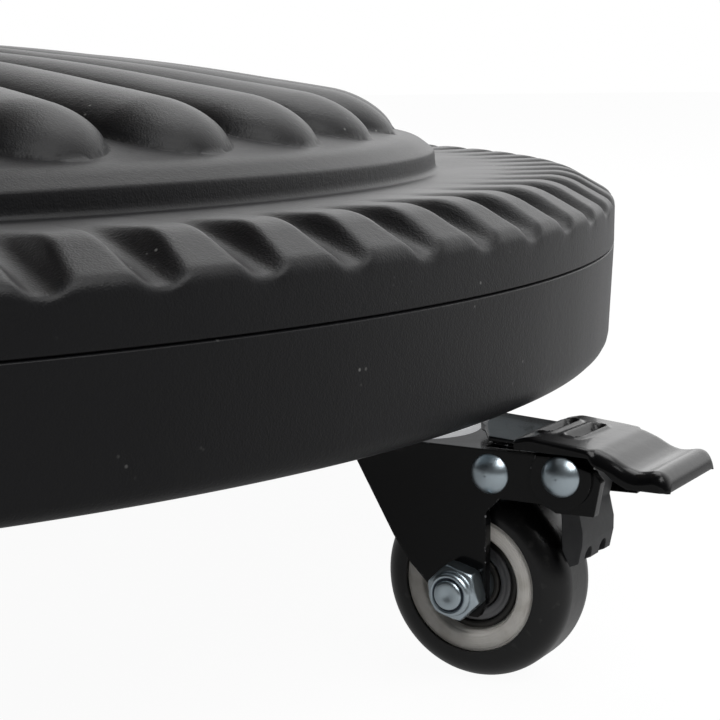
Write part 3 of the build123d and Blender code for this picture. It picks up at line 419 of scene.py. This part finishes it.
def column_paint():
    """Semi-gloss black powder coat of column, seat plate and height lever."""
    f = Finish("column_paint", IOR=1.5)
    pebble = f.noise(900.0, 2.0)
    smear = f.noise(35.0, 3.0)
    colour = f.mix(smear, (0.013, 0.013, 0.014), (0.022, 0.022, 0.023))
    bump = f.grain(pebble, 0.14, 0.0003, f.soft_edges(0.0006))
    return f.use(Base_Color=colour, Roughness=0.30 + 0.12 * smear, Normal=bump)


def chrome_tube():
    """Polished chrome with a fine draw along its length."""
    f = Finish("chrome_tube", Metallic=1.0)
    draw = f.noise(900.0, 2.0, vector=f.stretched(1.0, 1.0, 0.02))
    colour = f.mix(draw, (0.74, 0.75, 0.77), (0.80, 0.81, 0.82))
    return f.use(Base_Color=colour, Roughness=0.07 + 0.06 * draw)


def bright_steel():
    """Ground steel of pins and rod."""
    f = Finish("bright_steel", Metallic=1.0)
    draw = f.noise(700.0, 3.0)
    colour = f.mix(draw, (0.48, 0.48, 0.49), (0.60, 0.60, 0.61))
    return f.use(Base_Color=colour, Roughness=0.22 + 0.15 * draw, Normal=f.soft_edges(0.0003))


def frame_paint():
    """Dull dark primer on the welded star."""
    f = Finish("frame_paint", IOR=1.5)
    mottle = f.noise(120.0, 4.0)
    colour = f.mix(mottle, (0.08, 0.08, 0.085), (0.14, 0.14, 0.145))
    return f.use(Base_Color=colour, Roughness=0.6 + 0.15 * mottle)


def plywood():
    """Birch plywood with long grain and pale faces."""
    f = Finish("plywood", IOR=1.45)
    rings = f.noise(22.0, 6.0, 0.62, vector=f.stretched(0.35, 4.0, 4.0))
    fibre = f.noise(600.0, 3.0, vector=f.stretched(0.06, 1.0, 1.0))
    colour = f.mix(rings.between(0.3, 0.7), (0.60, 0.43, 0.27), (0.44, 0.29, 0.16))
    colour = f.mix(fibre * 0.3, colour, (0.33, 0.21, 0.11))
    return f.use(Base_Color=colour, Roughness=0.6 + 0.15 * fibre, Normal=f.grain(fibre, 0.2, 0.0002))


finishes = {
    "base_plastic": base_plastic(),
    "trim_plastic": trim_plastic(),
    "bush_plastic": trim_plastic(),
    "zinc": zinc_plate(),
    "frame_steel": frame_paint(),
    "black_enamel": black_enamel(),
    "bright_steel": bright_steel(),
    "chrome": chrome_tube(),
    "plywood": plywood(),
    "vinyl": seat_vinyl(),
    "hub_plastic": hub_plastic(),
    "tyre": tyre_rubber(),
    "bearing_steel": bearing_shield(),
    "shoe_steel": shoe_steel(),
}
column_finish = column_paint()
insert_finish = nut_insert()
race_shade_finish = bearing_race()
race_glow_finish = race_painted_glow()
thread_finish = stitch_thread()


def dress(node, material):
    """Give a CAD node its material."""
    piece = frame["nodes"][node]
    piece.data.materials.clear()
    piece.data.materials.append(material)


for subpart in frame["record"]["subparts"]:
    dress(subpart["node"], finishes[subpart["material_slot"]])
for painted in ("stand_tube", "seat_plate", "height_lever"):
    dress(painted, column_finish)
# The kingpins' races take the pale zinc with its painted glow.
dress("caster_kingpins", race_glow_finish)


def new_piece(name, points, faces, material, body, nodes=(), smooth=True):
    """Mesh piece in metres that rides on a body."""
    mesh = bpy.data.meshes.new(name)
    mesh.from_pydata([tuple(p) for p in points], [], [tuple(f) for f in faces])
    mesh.materials.append(material)
    if smooth:
        mesh.polygons.foreach_set("use_smooth", [True] * len(mesh.polygons))
    mesh.validate()
    piece = bpy.data.objects.new(name, mesh)
    bpy.context.scene.collection.objects.link(piece)
    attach(piece, body)
    if nodes:
        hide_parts(*nodes)
    return piece


def apply_modifier(piece, modifier):
    """Settle a modifier's result into its piece's mesh."""
    bpy.context.view_layer.objects.active = piece
    bpy.ops.object.modifier_apply(modifier=modifier.name)


def even_angles(count):
    """Angles of one whole turn, in even steps from 0."""
    return np.arange(count) * 2 * math.pi / count


def grid_faces(rows, columns, closed=True):
    """Quads of a grid of points, which may close round its columns."""
    k = np.arange(rows - 1)[:, None] * columns
    j = np.arange(columns if closed else columns - 1)[None, :]
    after = (j + 1) % columns
    return np.stack([k + j, k + after, k + columns + after, k + columns + j], axis=-1).reshape(-1, 4)


def turned_grid(path, columns):
    """Radius, angle and height of the grid that a path of radius and height sweeps about the column."""
    r, a = np.meshgrid(path[:, 0], even_angles(columns), indexing="ij")
    z = np.repeat(path[:, 1][:, None], columns, axis=1)
    return r, a, z


def grid_points(r, a, z):
    """Points in metres of a turned grid in millimetres."""
    return np.stack([r * np.cos(a), r * np.sin(a), z], axis=-1).reshape(-1, 3) * MM


def turned_piece(name, path, columns, material, body, nodes):
    """Piece turned from a path of radius and height in millimetres."""
    points = grid_points(*turned_grid(path, columns))
    return new_piece(name, points, grid_faces(len(path), columns), material, body, nodes)


def rounded_path(corners, step):
    """Points along straight runs whose corners are rounded, from (r, z, radius) corners."""
    path = []
    count = len(corners)
    for i, (r, z, radius) in enumerate(corners):
        here = Vector((r, z))
        if radius == 0 or i in (0, count - 1):
            path.append(here)
            continue
        before = (Vector(corners[i - 1][:2]) - here).normalized()
        after = (Vector(corners[i + 1][:2]) - here).normalized()
        half = math.acos(max(-1, min(1, before.dot(after)))) / 2
        reach = radius / math.tan(half)
        centre = here + (before + after).normalized() * (radius / math.sin(half))
        first = here + before * reach - centre
        turn = first.angle_signed(here + after * reach - centre)
        pieces = max(3, math.ceil(abs(turn) * radius / step))
        for k in range(pieces + 1):
            a = -turn * k / pieces
            path.append(centre + Vector((first.x * math.cos(a) - first.y * math.sin(a),
                                         first.x * math.sin(a) + first.y * math.cos(a))))
    dense = [path[0]]
    for start, end in zip(path, path[1:]):
        pieces = max(1, math.ceil((end - start).length / step))
        dense += [start.lerp(end, k / pieces) for k in range(1, pieces + 1)]
    return np.array([tuple(p) for p in dense])


def from_nearest(angle, count, phase):
    """Angle from the nearest of evenly spaced ribs, one of which lies at phase degrees."""
    pitch = 2 * math.pi / count
    return (angle - math.radians(phase) + pitch / 2) % pitch - pitch / 2


def deck_height(r):
    """Height of the deck between the fingers."""
    along = np.clip((r - PLATEAU_R) / (DECK_R - PLATEAU_R), 0, 1)
    return PLATEAU_Z - (PLATEAU_Z - DECK_Z) * along + 4 * DECK_BULGE * along * (1 - along)


def finger_rise(r, angle):
    """Height of the fingers above the deck at a radius and angle."""
    off = from_nearest(angle, FINGERS, FINGER_PHASE)
    fill = np.interp(r, *FINGER_FILL)
    half = fill * np.clip(r, FINGER_INNER_R, FINGER_TIP_R) * math.tan(math.pi / FINGERS)
    across = np.abs(r * np.sin(off)) / half
    past = (np.maximum(r - FINGER_TIP_R, 0) + np.maximum(FINGER_INNER_R - r, 0)) / half
    away = np.sqrt(across**2 + past**2)
    return np.interp(r, *FINGER_RISE) * np.clip(1 - away**2, 0, 1) ** FINGER_POWER


def flute_sink(r, z, angle):
    """How far the rim's surface sinks into the flutes, along the flutes' own depth."""
    off = from_nearest(angle, FLUTES, FLUTE_PHASE)
    across = r * np.sin(off)
    out = r * np.cos(off)
    above = (out - FLUTE_START_R) * math.sin(FLUTE_SLOPE) + (z - RIM_Z) * math.cos(FLUTE_SLOPE)
    depth = above - FLUTE_DEPTH * (np.abs(across) / FLUTE_HALF) ** FLUTE_POWER
    deep = 6 * FLUTE_SOFT
    rounded = FLUTE_SOFT * np.log1p(np.exp(np.clip(depth, -40, deep) / FLUTE_SOFT))
    return np.where(depth > deep, depth, rounded)


def base_top():
    """Upper half of the platform: fingers, step, ring and fluted rim down to the seam."""
    deck_r = np.concatenate([
        np.arange(HUB_HOLE_R + 1.5, 60, 3.0), np.arange(60, 72, 0.8), np.arange(72, 178, 2.0),
        np.arange(178, DECK_R, 0.55)])
    deck = np.stack([deck_r, deck_height(deck_r)], axis=1)
    edge = rounded_path([
        (DECK_R, DECK_Z, 0), (202.2, 104.4, 9.0), (STEP_R - 0.5, 101.2, 1.0), (STEP_R, RING_Z, 1.2),
        (239.0, RIM_Z, 14.0), (BASE_R, RIM_Z - 6.2, 3.4), (BASE_R, SEAM_Z + 0.30, 0.25),
        (BASE_R - 0.7, SEAM_Z + 0.05, 0.2), (BASE_R - 4.0, SEAM_Z + 0.05, 0)], 0.9)
    hub = np.array([
        (HUB_HOLE_R, PLATEAU_Z - 4.0), (HUB_HOLE_R, PLATEAU_Z - 1.2), (HUB_HOLE_R + 0.4, PLATEAU_Z - 0.3)])
    path = np.concatenate([hub, deck, edge])
    r, a, z = turned_grid(path, TOP_COLUMNS)
    on_deck = (r > FINGER_INNER_R - 10) & (r < DECK_R + 1.5) & (z > DECK_Z - 1)
    z = z + np.where(on_deck, finger_rise(r, a), 0)
    on_rim = (r > STEP_R + 5) & (z > SEAM_Z + 3)
    sink = np.where(on_rim, flute_sink(r, z, a), 0)
    points = grid_points(r - sink * math.sin(FLUTE_SLOPE), a, z - sink * math.cos(FLUTE_SLOPE))
    new_piece("platform_top", points, grid_faces(len(path), TOP_COLUMNS), finishes["base_plastic"], "base",
              ["base_upper_shell"])


def base_pan():
    """Lower half of the platform, from the seam to the hole under the column and back along the inside."""
    path = rounded_path([
        (BASE_R - 4.0, SEAM_Z, 0), (BASE_R - 0.7, SEAM_Z, 0.2), (BASE_R, SEAM_Z - 0.3, 0.25),
        (BASE_R - 1.0, BASE_LOW, 4.5), (PAN_HOLE_R, BASE_LOW, 0.6), (PAN_HOLE_R, BASE_LOW + PAN_WALL, 0),
        (BASE_R - 8.0, BASE_LOW + PAN_WALL, 0)], 1.4)
    keep = [0]
    for i in range(1, len(path)):
        needed = path[i, 0] > BASE_R - 12 or path[i, 0] < PAN_HOLE_R + 3 or i == len(path) - 1
        if needed or np.linalg.norm(path[i] - path[keep[-1]]) > 14:
            keep.append(i)
    turned_piece("platform_pan", path[keep], PAN_COLUMNS, finishes["base_plastic"], "base",
                 ["base_lower_shell"])


base_top()
base_pan()


def on_caster(number, points):
    """World metres of a caster's points: along its trail from the axle, along the axle, up from the floor."""
    place = math.radians(FIRST_CASTER + 360 / len(CASTERS) * (number - 1))
    turn = place + math.radians(SWIVEL)
    kingpin = np.array([KING_R * math.cos(place), KING_R * math.sin(place), 0])
    ahead = np.array([math.cos(turn), math.sin(turn), 0])
    across = np.array([-math.sin(turn), math.cos(turn), 0])
    up = np.array([0, 0, 1])
    p = np.asarray(points, float)
    there = kingpin + np.outer(p[:, 0] + TRAIL, ahead) + np.outer(p[:, 1], across) + np.outer(p[:, 2], up)
    return there * MM


def axle_rings(number, rings):
    """Points and faces of rings about a caster's axle, each a list of (radius or radii, place along it)."""
    angle = even_angles(AXLE_COLUMNS)
    points, faces = [], []
    for ring in rings:
        first = len(points)
        for radius, along in ring:
            r = np.broadcast_to(radius, AXLE_COLUMNS)
            points += zip(r * np.cos(angle), np.full(AXLE_COLUMNS, along), WHEEL_R + r * np.sin(angle))
        faces.append(grid_faces(len(ring), AXLE_COLUMNS) + first)
    return on_caster(number, points), np.concatenate(faces)


def facing(ring, side, start=0.0):
    """A ring measured outwards from a start on one side of the wheel."""
    return [(r, side * (start + along)) for r, along in ring]


def hexagon(limit):
    """Radii of a nut's hexagon, cut back to a round of radius limit."""
    angle = np.degrees(even_angles(AXLE_COLUMNS)) + NUT_TURN
    return np.minimum(NUT_ACROSS / 2 / np.cos(np.radians(angle % 60 - 30)), limit)


def hub_ring(number):
    """Off-white hub ring with fine turning marks on both faces."""
    crest_r, crest, fall = 11.6, 8.92, 0.16
    mark_half, mark_depth = 0.10, 0.06
    face = [(13.98, 4.0), (13.98, 8.2)]
    for mark in (13.6, 13.1, 12.6, 12.1, 11.6, 11.1):
        height = crest - fall * (mark - crest_r) ** 2
        face += [(mark + mark_half, height), (mark, height - mark_depth), (mark - mark_half, height)]
    face += [(10.65, 8.8), (10.4, 8.6), (10.3, 8.2), (10.3, 6.4), (9.6, 6.3), (9.6, 4.0)]
    points, faces = axle_rings(number, [facing(face, side) for side in SIDES])
    new_piece(f"hub_ring_{number}", points, faces, finishes["hub_plastic"], f"caster_{number}_wheel",
              [f"caster_{number}_wheel_core"])


def ball_bearings(number):
    """Bearings sunk in the hub: races painted dark as shade in the recess and, between them, the pressed grey
    shields.
    """
    outer = [(9.58, 4.5), (9.58, 6.6), (9.4, 6.8), (8.5, 6.8), (8.3, 6.65), (8.3, 5.6)]
    inner = [(5.6, 5.6), (5.6, 6.65), (5.45, 6.8), (4.1, 6.8), (3.9, 6.65), (3.06, 6.65), (3.06, 4.5)]
    shield = [(8.25, 5.6), (8.1, 6.3), (7.9, 6.45), (7.2, 6.5), (7.0, 6.42), (6.8, 6.5), (6.1, 6.5),
              (5.85, 6.35), (5.75, 5.6)]
    points, faces = axle_rings(number, [facing(race, side) for side in SIDES for race in (outer, inner)])
    new_piece(f"bearing_races_{number}", points, faces, race_shade_finish, f"caster_{number}_wheel",
              [f"caster_{number}_bearings"])
    points, faces = axle_rings(number, [facing(shield, side) for side in SIDES])
    new_piece(f"bearing_shields_{number}", points, faces, finishes["bearing_steel"], f"caster_{number}_wheel")


def axle_nut(number):
    """Axle bolt with its head, two spacers and the collared lock nut with its insert."""
    nut = [(3.2, 0.0), (hexagon(5.35), 0.0), (hexagon(5.8), 0.35), (hexagon(5.8), 3.4), (hexagon(5.62), 3.65),
           (hexagon(5.3), 3.95), (hexagon(4.95), 4.15), (4.55, 4.2), (4.42, 4.35), (4.38, 5.2), (4.25, 5.6),
           (3.95, 5.9), (3.65, 5.95), (3.42, 5.85), (3.34, 5.6)]
    insert = [(3.36, 5.62), (3.2, 5.7), (3.02, 5.6)]
    bolt = [(2.96, 5.3), (2.94, 6.0), (2.78, 6.25), (2.45, 6.42), (1.6, 6.45), (1.1, 6.38), (0.5, 6.2),
            (0.02, 6.15)]
    head = [(3.2, 0.0), (hexagon(5.8), 0.0), (hexagon(5.8), 3.3), (hexagon(5.5), 3.7), (hexagon(4.9), 4.0),
            (4.4, 4.0), (3.9, 3.8), (0.02, 3.8)]
    spacer = [(3.1, 6.85), (4.5, 6.85), (4.7, 7.05), (4.7, 9.8), (4.5, 9.98), (3.1, 9.98)]
    rings = [facing(nut, -1, FORK_SIDE), facing(bolt, -1, FORK_SIDE), facing(head, 1, FORK_SIDE)]
    rings += [facing(spacer, side) for side in SIDES]
    points, faces = axle_rings(number, rings)
    new_piece(f"axle_set_{number}", points, faces, finishes["zinc"], f"caster_{number}_fork",
              [f"caster_{number}_axle"])
    points, faces = axle_rings(number, [facing(insert, -1, FORK_SIDE)])
    new_piece(f"nut_insert_{number}", points, faces, insert_finish, f"caster_{number}_fork")


def smoothed(points, count, rounds):
    """Even points along a polyline, with its corners relaxed."""
    line = np.array(points, float)
    along = np.concatenate([[0], np.cumsum(np.linalg.norm(np.diff(line, axis=0), axis=1))])
    fine = np.linspace(0, along[-1], count)
    line = np.stack([np.interp(fine, along, line[:, k]) for k in range(line.shape[1])], axis=1)
    for _ in range(rounds):
        line[1:-1] = (line[:-2] + 2 * line[1:-1] + line[2:]) / 4
    return line


def pedal_section(s, z):
    """The pedal's section at a place on its spine, from the foot of the far skirt to that of the near one."""
    half = np.interp(s, [10.6, 11.2, 28, 41.0, 42.1, 42.6], [11.0, 13.1, 13.5, 13.5, 12.9, 12.0])
    near_half = min(half, np.interp(s, [-1.5, 0.5, 3.0, 5.0, 6.0], [1.0, 3.2, 7.5, 11.0, 13.5]))
    low = np.interp(s, [10.6, 11.2, 26.6, 27.6, 30.0, 32.0, 34.5, 41.6, 42.6],
                    [49.9, 49.3, 49.2, 47.9, 47.0, 45.4, 44.2, 44.2, 44.0])
    corner = np.interp(s, [10, 12, 26.6, 27.6, 42], [0.3, 0.8, 0.9, 2.6, 2.2])
    corner = min(corner, max(z - low - PEDAL_LEAST, PEDAL_LEAST))
    low = min(low, z - corner - PEDAL_LEAST)
    flanks = []
    for reach in (half, near_half):
        skirt = [(reach, low + (z - corner - low) * k / PEDAL_SKIRT_STEPS) for k in range(PEDAL_SKIRT_STEPS)]
        bend = [(reach - corner + corner * math.sin(a), z - corner + corner * math.cos(a))
                for a in np.radians([90, 72, 54, 36, 18, 0])]
        flanks.append(skirt + bend)
    flat = np.linspace(half - corner, corner - near_half, PEDAL_FLAT_STEPS)[1:-1]
    return flanks[0] + [(y, z) for y in flat] + [(-y, h) for y, h in reversed(flanks[1])]


def groove_depth(s, y):
    """Depth of the pedal's two pressed grooves, less their raised lips."""
    depth = 0.0
    for place in GROOVES:
        off_line = (s - place - GROOVE_SLANT * y) / GROOVE_HALF_W
        past_end = max(abs(y - GROOVE_MIDDLE) - GROOVE_HALF_L, 0) / GROOVE_HALF_W
        near = math.hypot(off_line, past_end)
        lip = GROOVE_LIP * math.exp(-((near - GROOVE_LIP_AT) / GROOVE_LIP_SPREAD) ** 2)
        depth += GROOVE_DEPTH * math.exp(-near**4) - lip
    return depth


def brake_pedal(number):
    """Pressed foot pedal: flat root, grooved ridge, dipped plate with skirts, rolled lip, and two ears."""
    body = f"caster_{number}_brake"
    spine = smoothed([
        (-1.5, 51.2), (10.4, 50.5), (11.6, 51.3), (14.6, 52.0), (17.5, 51.7), (24.0, 51.1), (28.0, 50.6),
        (31.0, 49.5), (34.0, 47.9), (36.0, 47.4), (38.0, 47.6), (39.6, 48.0), (40.9, 47.7), (41.9, 46.8),
        (42.5, 45.5), (42.6, 44.3)], PEDAL_STEPS, rounds=5)
    rows = [[(s, y, h - groove_depth(s, y)) for y, h in pedal_section(s, z)] for s, z in spine]
    faces = grid_faces(len(rows), len(rows[0]), closed=False)
    piece = new_piece(f"pressed_pedal_{number}", on_caster(number, np.concatenate(rows)), faces,
                      finishes["black_enamel"], body, [f"caster_{number}_brake_pedal"])
    sheet = piece.modifiers.new("sheet", "SOLIDIFY")
    sheet.thickness = PEDAL_SHEET * MM
    sheet.offset = -1.0
    apply_modifier(piece, sheet)
    eye = [(PIVOT[0] + EAR_R * math.cos(a), PIVOT[1] + EAR_R * math.sin(a))
           for a in np.radians(np.arange(180, 361, 15))]
    outline = eye + [(27.0, 49.3), (13.6, 50.2)]
    count = len(outline)
    for side, name in zip(SIDES, ("near", "far")):
        points = [(s, side * y, z) for y in EAR_FACES for s, z in outline]
        faces = [list(range(count))[::-1], list(range(count, 2 * count))]
        faces += [[i, (i + 1) % count, (i + 1) % count + count, i + count] for i in range(count)]
        new_piece(f"pedal_ear_{number}_{name}", on_caster(number, points), faces, finishes["black_enamel"],
                  body, smooth=False)


for number in CASTERS:
    hub_ring(number)
    ball_bearings(number)
    axle_nut(number)
    brake_pedal(number)


def seat_profile(inset):
    """Radius and height of the padded seat's section, drawn in by inset."""
    edge = SEAT_R - 9.0
    shoulder = SEAT_TOP - 14.0
    middle = (SEAT_LOW + shoulder) / 2
    under = [(0.5, SEAT_LOW + 1.0), (BOARD_R * 0.5, SEAT_LOW + 1.0), (BOARD_R, SEAT_LOW + 0.6)]
    side = [(edge, SEAT_LOW), (SEAT_R - 1.0, SEAT_LOW + 12.0), (SEAT_R - 3.0, middle),
            (SEAT_R, shoulder - 12.0), (edge + 2.0, shoulder + 1.0)]
    crown = [(edge * 0.97, SEAT_TOP - 8.9), (edge * 0.9, SEAT_TOP - 5.7), (edge * 0.78, SEAT_TOP - 4.0),
             (edge * 0.6, SEAT_TOP - 2.3), (edge * 0.4, SEAT_TOP - 0.8), (edge * 0.2, SEAT_TOP - 0.1),
             (0.5, SEAT_TOP)]
    outer = smoothed(side + crown, PAD_STEPS, rounds=3)
    outer[:, 0] = np.maximum(outer[:, 0] - inset * np.clip((outer[:, 0] - 60) / 60, 0, 1), 0.5)
    outer[:, 1] -= inset * np.clip((outer[:, 1] - middle) / 20, 0, 1)
    return np.concatenate([np.array(under), outer])


def close_middle(pad):
    """Close the small holes in the middle of the pad's top and underside."""
    bm = bmesh.new()
    bm.from_mesh(pad.data)
    for on_top in (True, False):
        rim = [v for v in bm.verts
               if math.hypot(v.co.x, v.co.y) < 1.0 * MM and (v.co.z > (BOARD_TOP + 20) * MM) == on_top]
        bm.faces.new(sorted(rim, key=lambda v: math.atan2(v.co.y, v.co.x)))
    bmesh.ops.recalc_face_normals(bm, faces=bm.faces)
    bm.to_mesh(pad.data)
    bm.free()


def swell(pad):
    """Swell the pad by a cloth simulation, held where it lies on the board."""
    remesh = pad.modifiers.new("remesh", "REMESH")
    remesh.mode = "VOXEL"
    remesh.voxel_size = SWELL_VOXEL * MM
    apply_modifier(pad, remesh)
    start = np.array([v.co for v in pad.data.vertices])
    outward = np.array([v.normal for v in pad.data.vertices])
    held = pad.vertex_groups.new(name="held")
    radius = np.hypot(start[:, 0], start[:, 1])
    on_board = (start[:, 2] < (BOARD_TOP + 3) * MM) & (radius < (BOARD_R + 7) * MM)
    held.add([int(i) for i in np.nonzero(on_board)[0]], 1.0, "REPLACE")
    cloth = pad.modifiers.new("swell", "CLOTH")
    cloth.settings.use_pressure = True
    cloth.settings.uniform_pressure_force = SWELL_PRESSURE
    cloth.settings.effector_weights.gravity = 0.0
    cloth.settings.vertex_group_mass = "held"
    cloth.settings.tension_stiffness = SWELL_STIFFNESS
    cloth.settings.compression_stiffness = SWELL_STIFFNESS
    cloth.point_cache.frame_start = 1
    cloth.point_cache.frame_end = SWELL_FRAMES
    scene = bpy.context.scene
    for number in range(1, SWELL_FRAMES + 1):
        scene.frame_set(number)
    apply_modifier(pad, cloth)
    moved = np.array([v.co for v in pad.data.vertices]) - start
    rise = np.sum(moved * outward, axis=1, keepdims=True)
    lowest, highest = SWELL_RANGE
    moved += outward * (np.clip(rise, lowest * MM, highest * MM) - rise)
    length = np.linalg.norm(moved, axis=1, keepdims=True)
    moved *= np.minimum(1, SWELL_CAP * MM / np.maximum(length, 1e-9))
    pad.data.vertices.foreach_set("co", (start + moved).ravel())
    scene.frame_set(1)
    soften = pad.modifiers.new("soften", "SUBSURF")
    soften.levels = 1
    soften.render_levels = 1
    apply_modifier(pad, soften)
    pad.data.polygons.foreach_set("use_smooth", [True] * len(pad.data.polygons))


def seat_pad():
    """Padded seat, which is swelled from a slightly smaller shape."""
    path = seat_profile(SWELL_INSET)
    pad = turned_piece("seat_pad", path, PAD_COLUMNS, finishes["vinyl"], "seat", ["seat_cushion"])
    close_middle(pad)
    swell(pad)
    return pad


def pad_reach(pad, z):
    """Radius of the padded seat at a height, at even angles."""
    points = np.array([v.co for v in pad.data.vertices]) / MM
    points = points[np.abs(points[:, 2] - z) < REACH_BAND]
    turns = np.arctan2(points[:, 1], points[:, 0]) / (2 * math.pi)
    place = np.round(turns * REACH_COLUMNS).astype(int) % REACH_COLUMNS
    reach = np.zeros(REACH_COLUMNS)
    np.maximum.at(reach, place, np.hypot(points[:, 0], points[:, 1]))
    filled = np.nonzero(reach)[0]
    reach = np.interp(np.arange(REACH_COLUMNS), filled, reach[filled], period=REACH_COLUMNS)
    for _ in range(4):
        reach = (np.roll(reach, 1) + 2 * reach + np.roll(reach, -1)) / 4
    return reach


def welt(name, pad, z, thickness):
    """Piping sewn into the seat's edge."""
    reach = pad_reach(pad, z) - 0.3 * thickness
    angle = even_angles(REACH_COLUMNS)
    points = []
    for turn in np.arange(WELT_SIDES + 1) * 2 * math.pi / WELT_SIDES:
        r = reach + thickness * math.cos(turn)
        height = np.full(REACH_COLUMNS, z + thickness * math.sin(turn))
        points += zip(r * np.cos(angle), r * np.sin(angle), height)
    faces = grid_faces(WELT_SIDES + 1, REACH_COLUMNS)
    new_piece(name, np.array(points) * MM, faces, finishes["vinyl"], "seat")


def stitches(name, pad, z):
    """Row of single stitches round the seat's side."""
    reach = pad_reach(pad, z)
    columns = np.arange(REACH_COLUMNS)
    count = round(2 * math.pi * SEAT_R / STITCH_PITCH)
    points, faces = [], []
    for i in range(count):
        first = len(points)
        for station, lift in STITCH_ARCH:
            a = 2 * math.pi * i / count + station * STITCH_L / SEAT_R
            r = np.interp(a / (2 * math.pi) * REACH_COLUMNS, columns, reach, period=REACH_COLUMNS) + lift
            for turn in even_angles(THREAD_SIDES):
                out = r + THREAD_R * math.cos(turn)
                points.append((out * math.cos(a), out * math.sin(a), z + THREAD_R * math.sin(turn)))
        faces.append(grid_faces(len(STITCH_ARCH), THREAD_SIDES) + first)
    new_piece(name, np.array(points) * MM, np.concatenate(faces), thread_finish, "seat")


pad = seat_pad()
welt("seat_welt_top", pad, SEAT_TOP - 19.0, 2.6)
welt("seat_welt_low", pad, SEAT_LOW + 8.0, 2.4)
stitches("seat_stitches_top", pad, SEAT_TOP - 25.5)
stitches("seat_stitches_low", pad, SEAT_LOW + 14.0)


def white_floor():
    """Pale floor that looks white, glows in part in reflections and lights the stool as grey."""
    mesh = bpy.data.meshes.new("floor")
    corners = [(-FLOOR_HALF, -FLOOR_HALF, 0), (FLOOR_HALF, -FLOOR_HALF, 0), (FLOOR_HALF, FLOOR_HALF, 0),
               (-FLOOR_HALF, FLOOR_HALF, 0)]
    mesh.from_pydata(corners, [], [(0, 1, 2, 3)])
    floor = bpy.data.objects.new("floor", mesh)
    bpy.context.scene.collection.objects.link(floor)
    grey = (FLOOR_GREY, FLOOR_GREY, FLOOR_GREY)
    paper = Finish("white_floor", Base_Color=grey, Roughness=1.0, Specular_IOR_Level=0.0)
    seen = paper.ray("Camera").math("MAXIMUM", paper.ray("Transmission"))
    glow = paper.add("ShaderNodeEmission", {}, {"Color": (1.0, 1.0, 1.0), "Strength": FLOOR_GLOW})
    shown = GLOW_SEEN * seen + GLOW_REFLECTED * paper.ray("Glossy")
    blend = paper.add("ShaderNodeMixShader", {}, [shown, paper.shader.outputs[0], glow])
    paper.set(paper.nodes["Material Output"], "Surface", blend)
    mesh.materials.append(paper.material)


def studio_sky():
    """White surroundings whose light comes mostly from behind the stool."""
    sky = Finish("studio_sky", sky=True, Color=(1.0, 1.0, 1.0))
    ahead = (math.cos(math.radians(SKY_TURN)), math.sin(math.radians(SKY_TURN)), 0.0)
    look = sky.add("ShaderNodeTexCoord", {}, {}, "Generated")
    behind = sky.add("ShaderNodeVectorMath", {"operation": "DOT_PRODUCT"}, [look, ahead], "Value")
    height = sky.add("ShaderNodeSeparateXYZ", {}, [look], "Z")
    rising = SKY_HORIZON + (1 - SKY_HORIZON) * height.between(0.0, SKY_FULL)
    level = SKY_FRONT + (SKY_BACK - SKY_FRONT) * behind.between(*SKY_SWEEP) * rising
    seen = sky.ray("Camera")
    bpy.context.scene.world = sky.use(Strength=seen + (1 - seen) * level)


def aimed(name, data, place, direction):
    """Put a lamp or camera at a place, looking in a direction."""
    holder = bpy.data.objects.new(name, data)
    holder.location = place
    holder.rotation_euler = direction.to_track_quat("-Z", "Y").to_euler()
    bpy.context.scene.collection.objects.link(holder)
    return holder


def softbox(name, place, aim, size, power):
    """Soft rectangular lamp that looks at a point."""
    light = bpy.data.lights.new(name, "AREA")
    light.shape = "RECTANGLE"
    light.size, light.size_y = size
    light.energy = power
    aimed(name, light, place, Vector(aim) - Vector(place))


def photo_camera():
    """Camera at the photograph's viewing angle."""
    camera = bpy.data.cameras.new("photo_camera")
    camera.sensor_width = CAMERA_SENSOR
    camera.lens = CAMERA_LENS
    camera.clip_start = 0.01
    turn, tilt = math.radians(CAMERA_TURN), math.radians(CAMERA_TILT)
    ahead = Vector((math.cos(turn) * math.cos(tilt), math.sin(turn) * math.cos(tilt), math.sin(tilt)))
    bpy.context.scene.camera = aimed("photo_camera", camera, CAMERA_PLACE, ahead)


bpy.context.scene.view_settings.view_transform = "Standard"
white_floor()
studio_sky()
softbox("top_softbox", place=(0.4, 0.7, 2.2), aim=(0.1, 0.0, 0.1), size=(2.2, 1.6), power=34.0)
softbox("front_softbox", place=(0.45, -1.30, 1.60), aim=(0.14, -0.2, 0.03), size=(1.5, 1.2), power=36.0)
photo_camera()
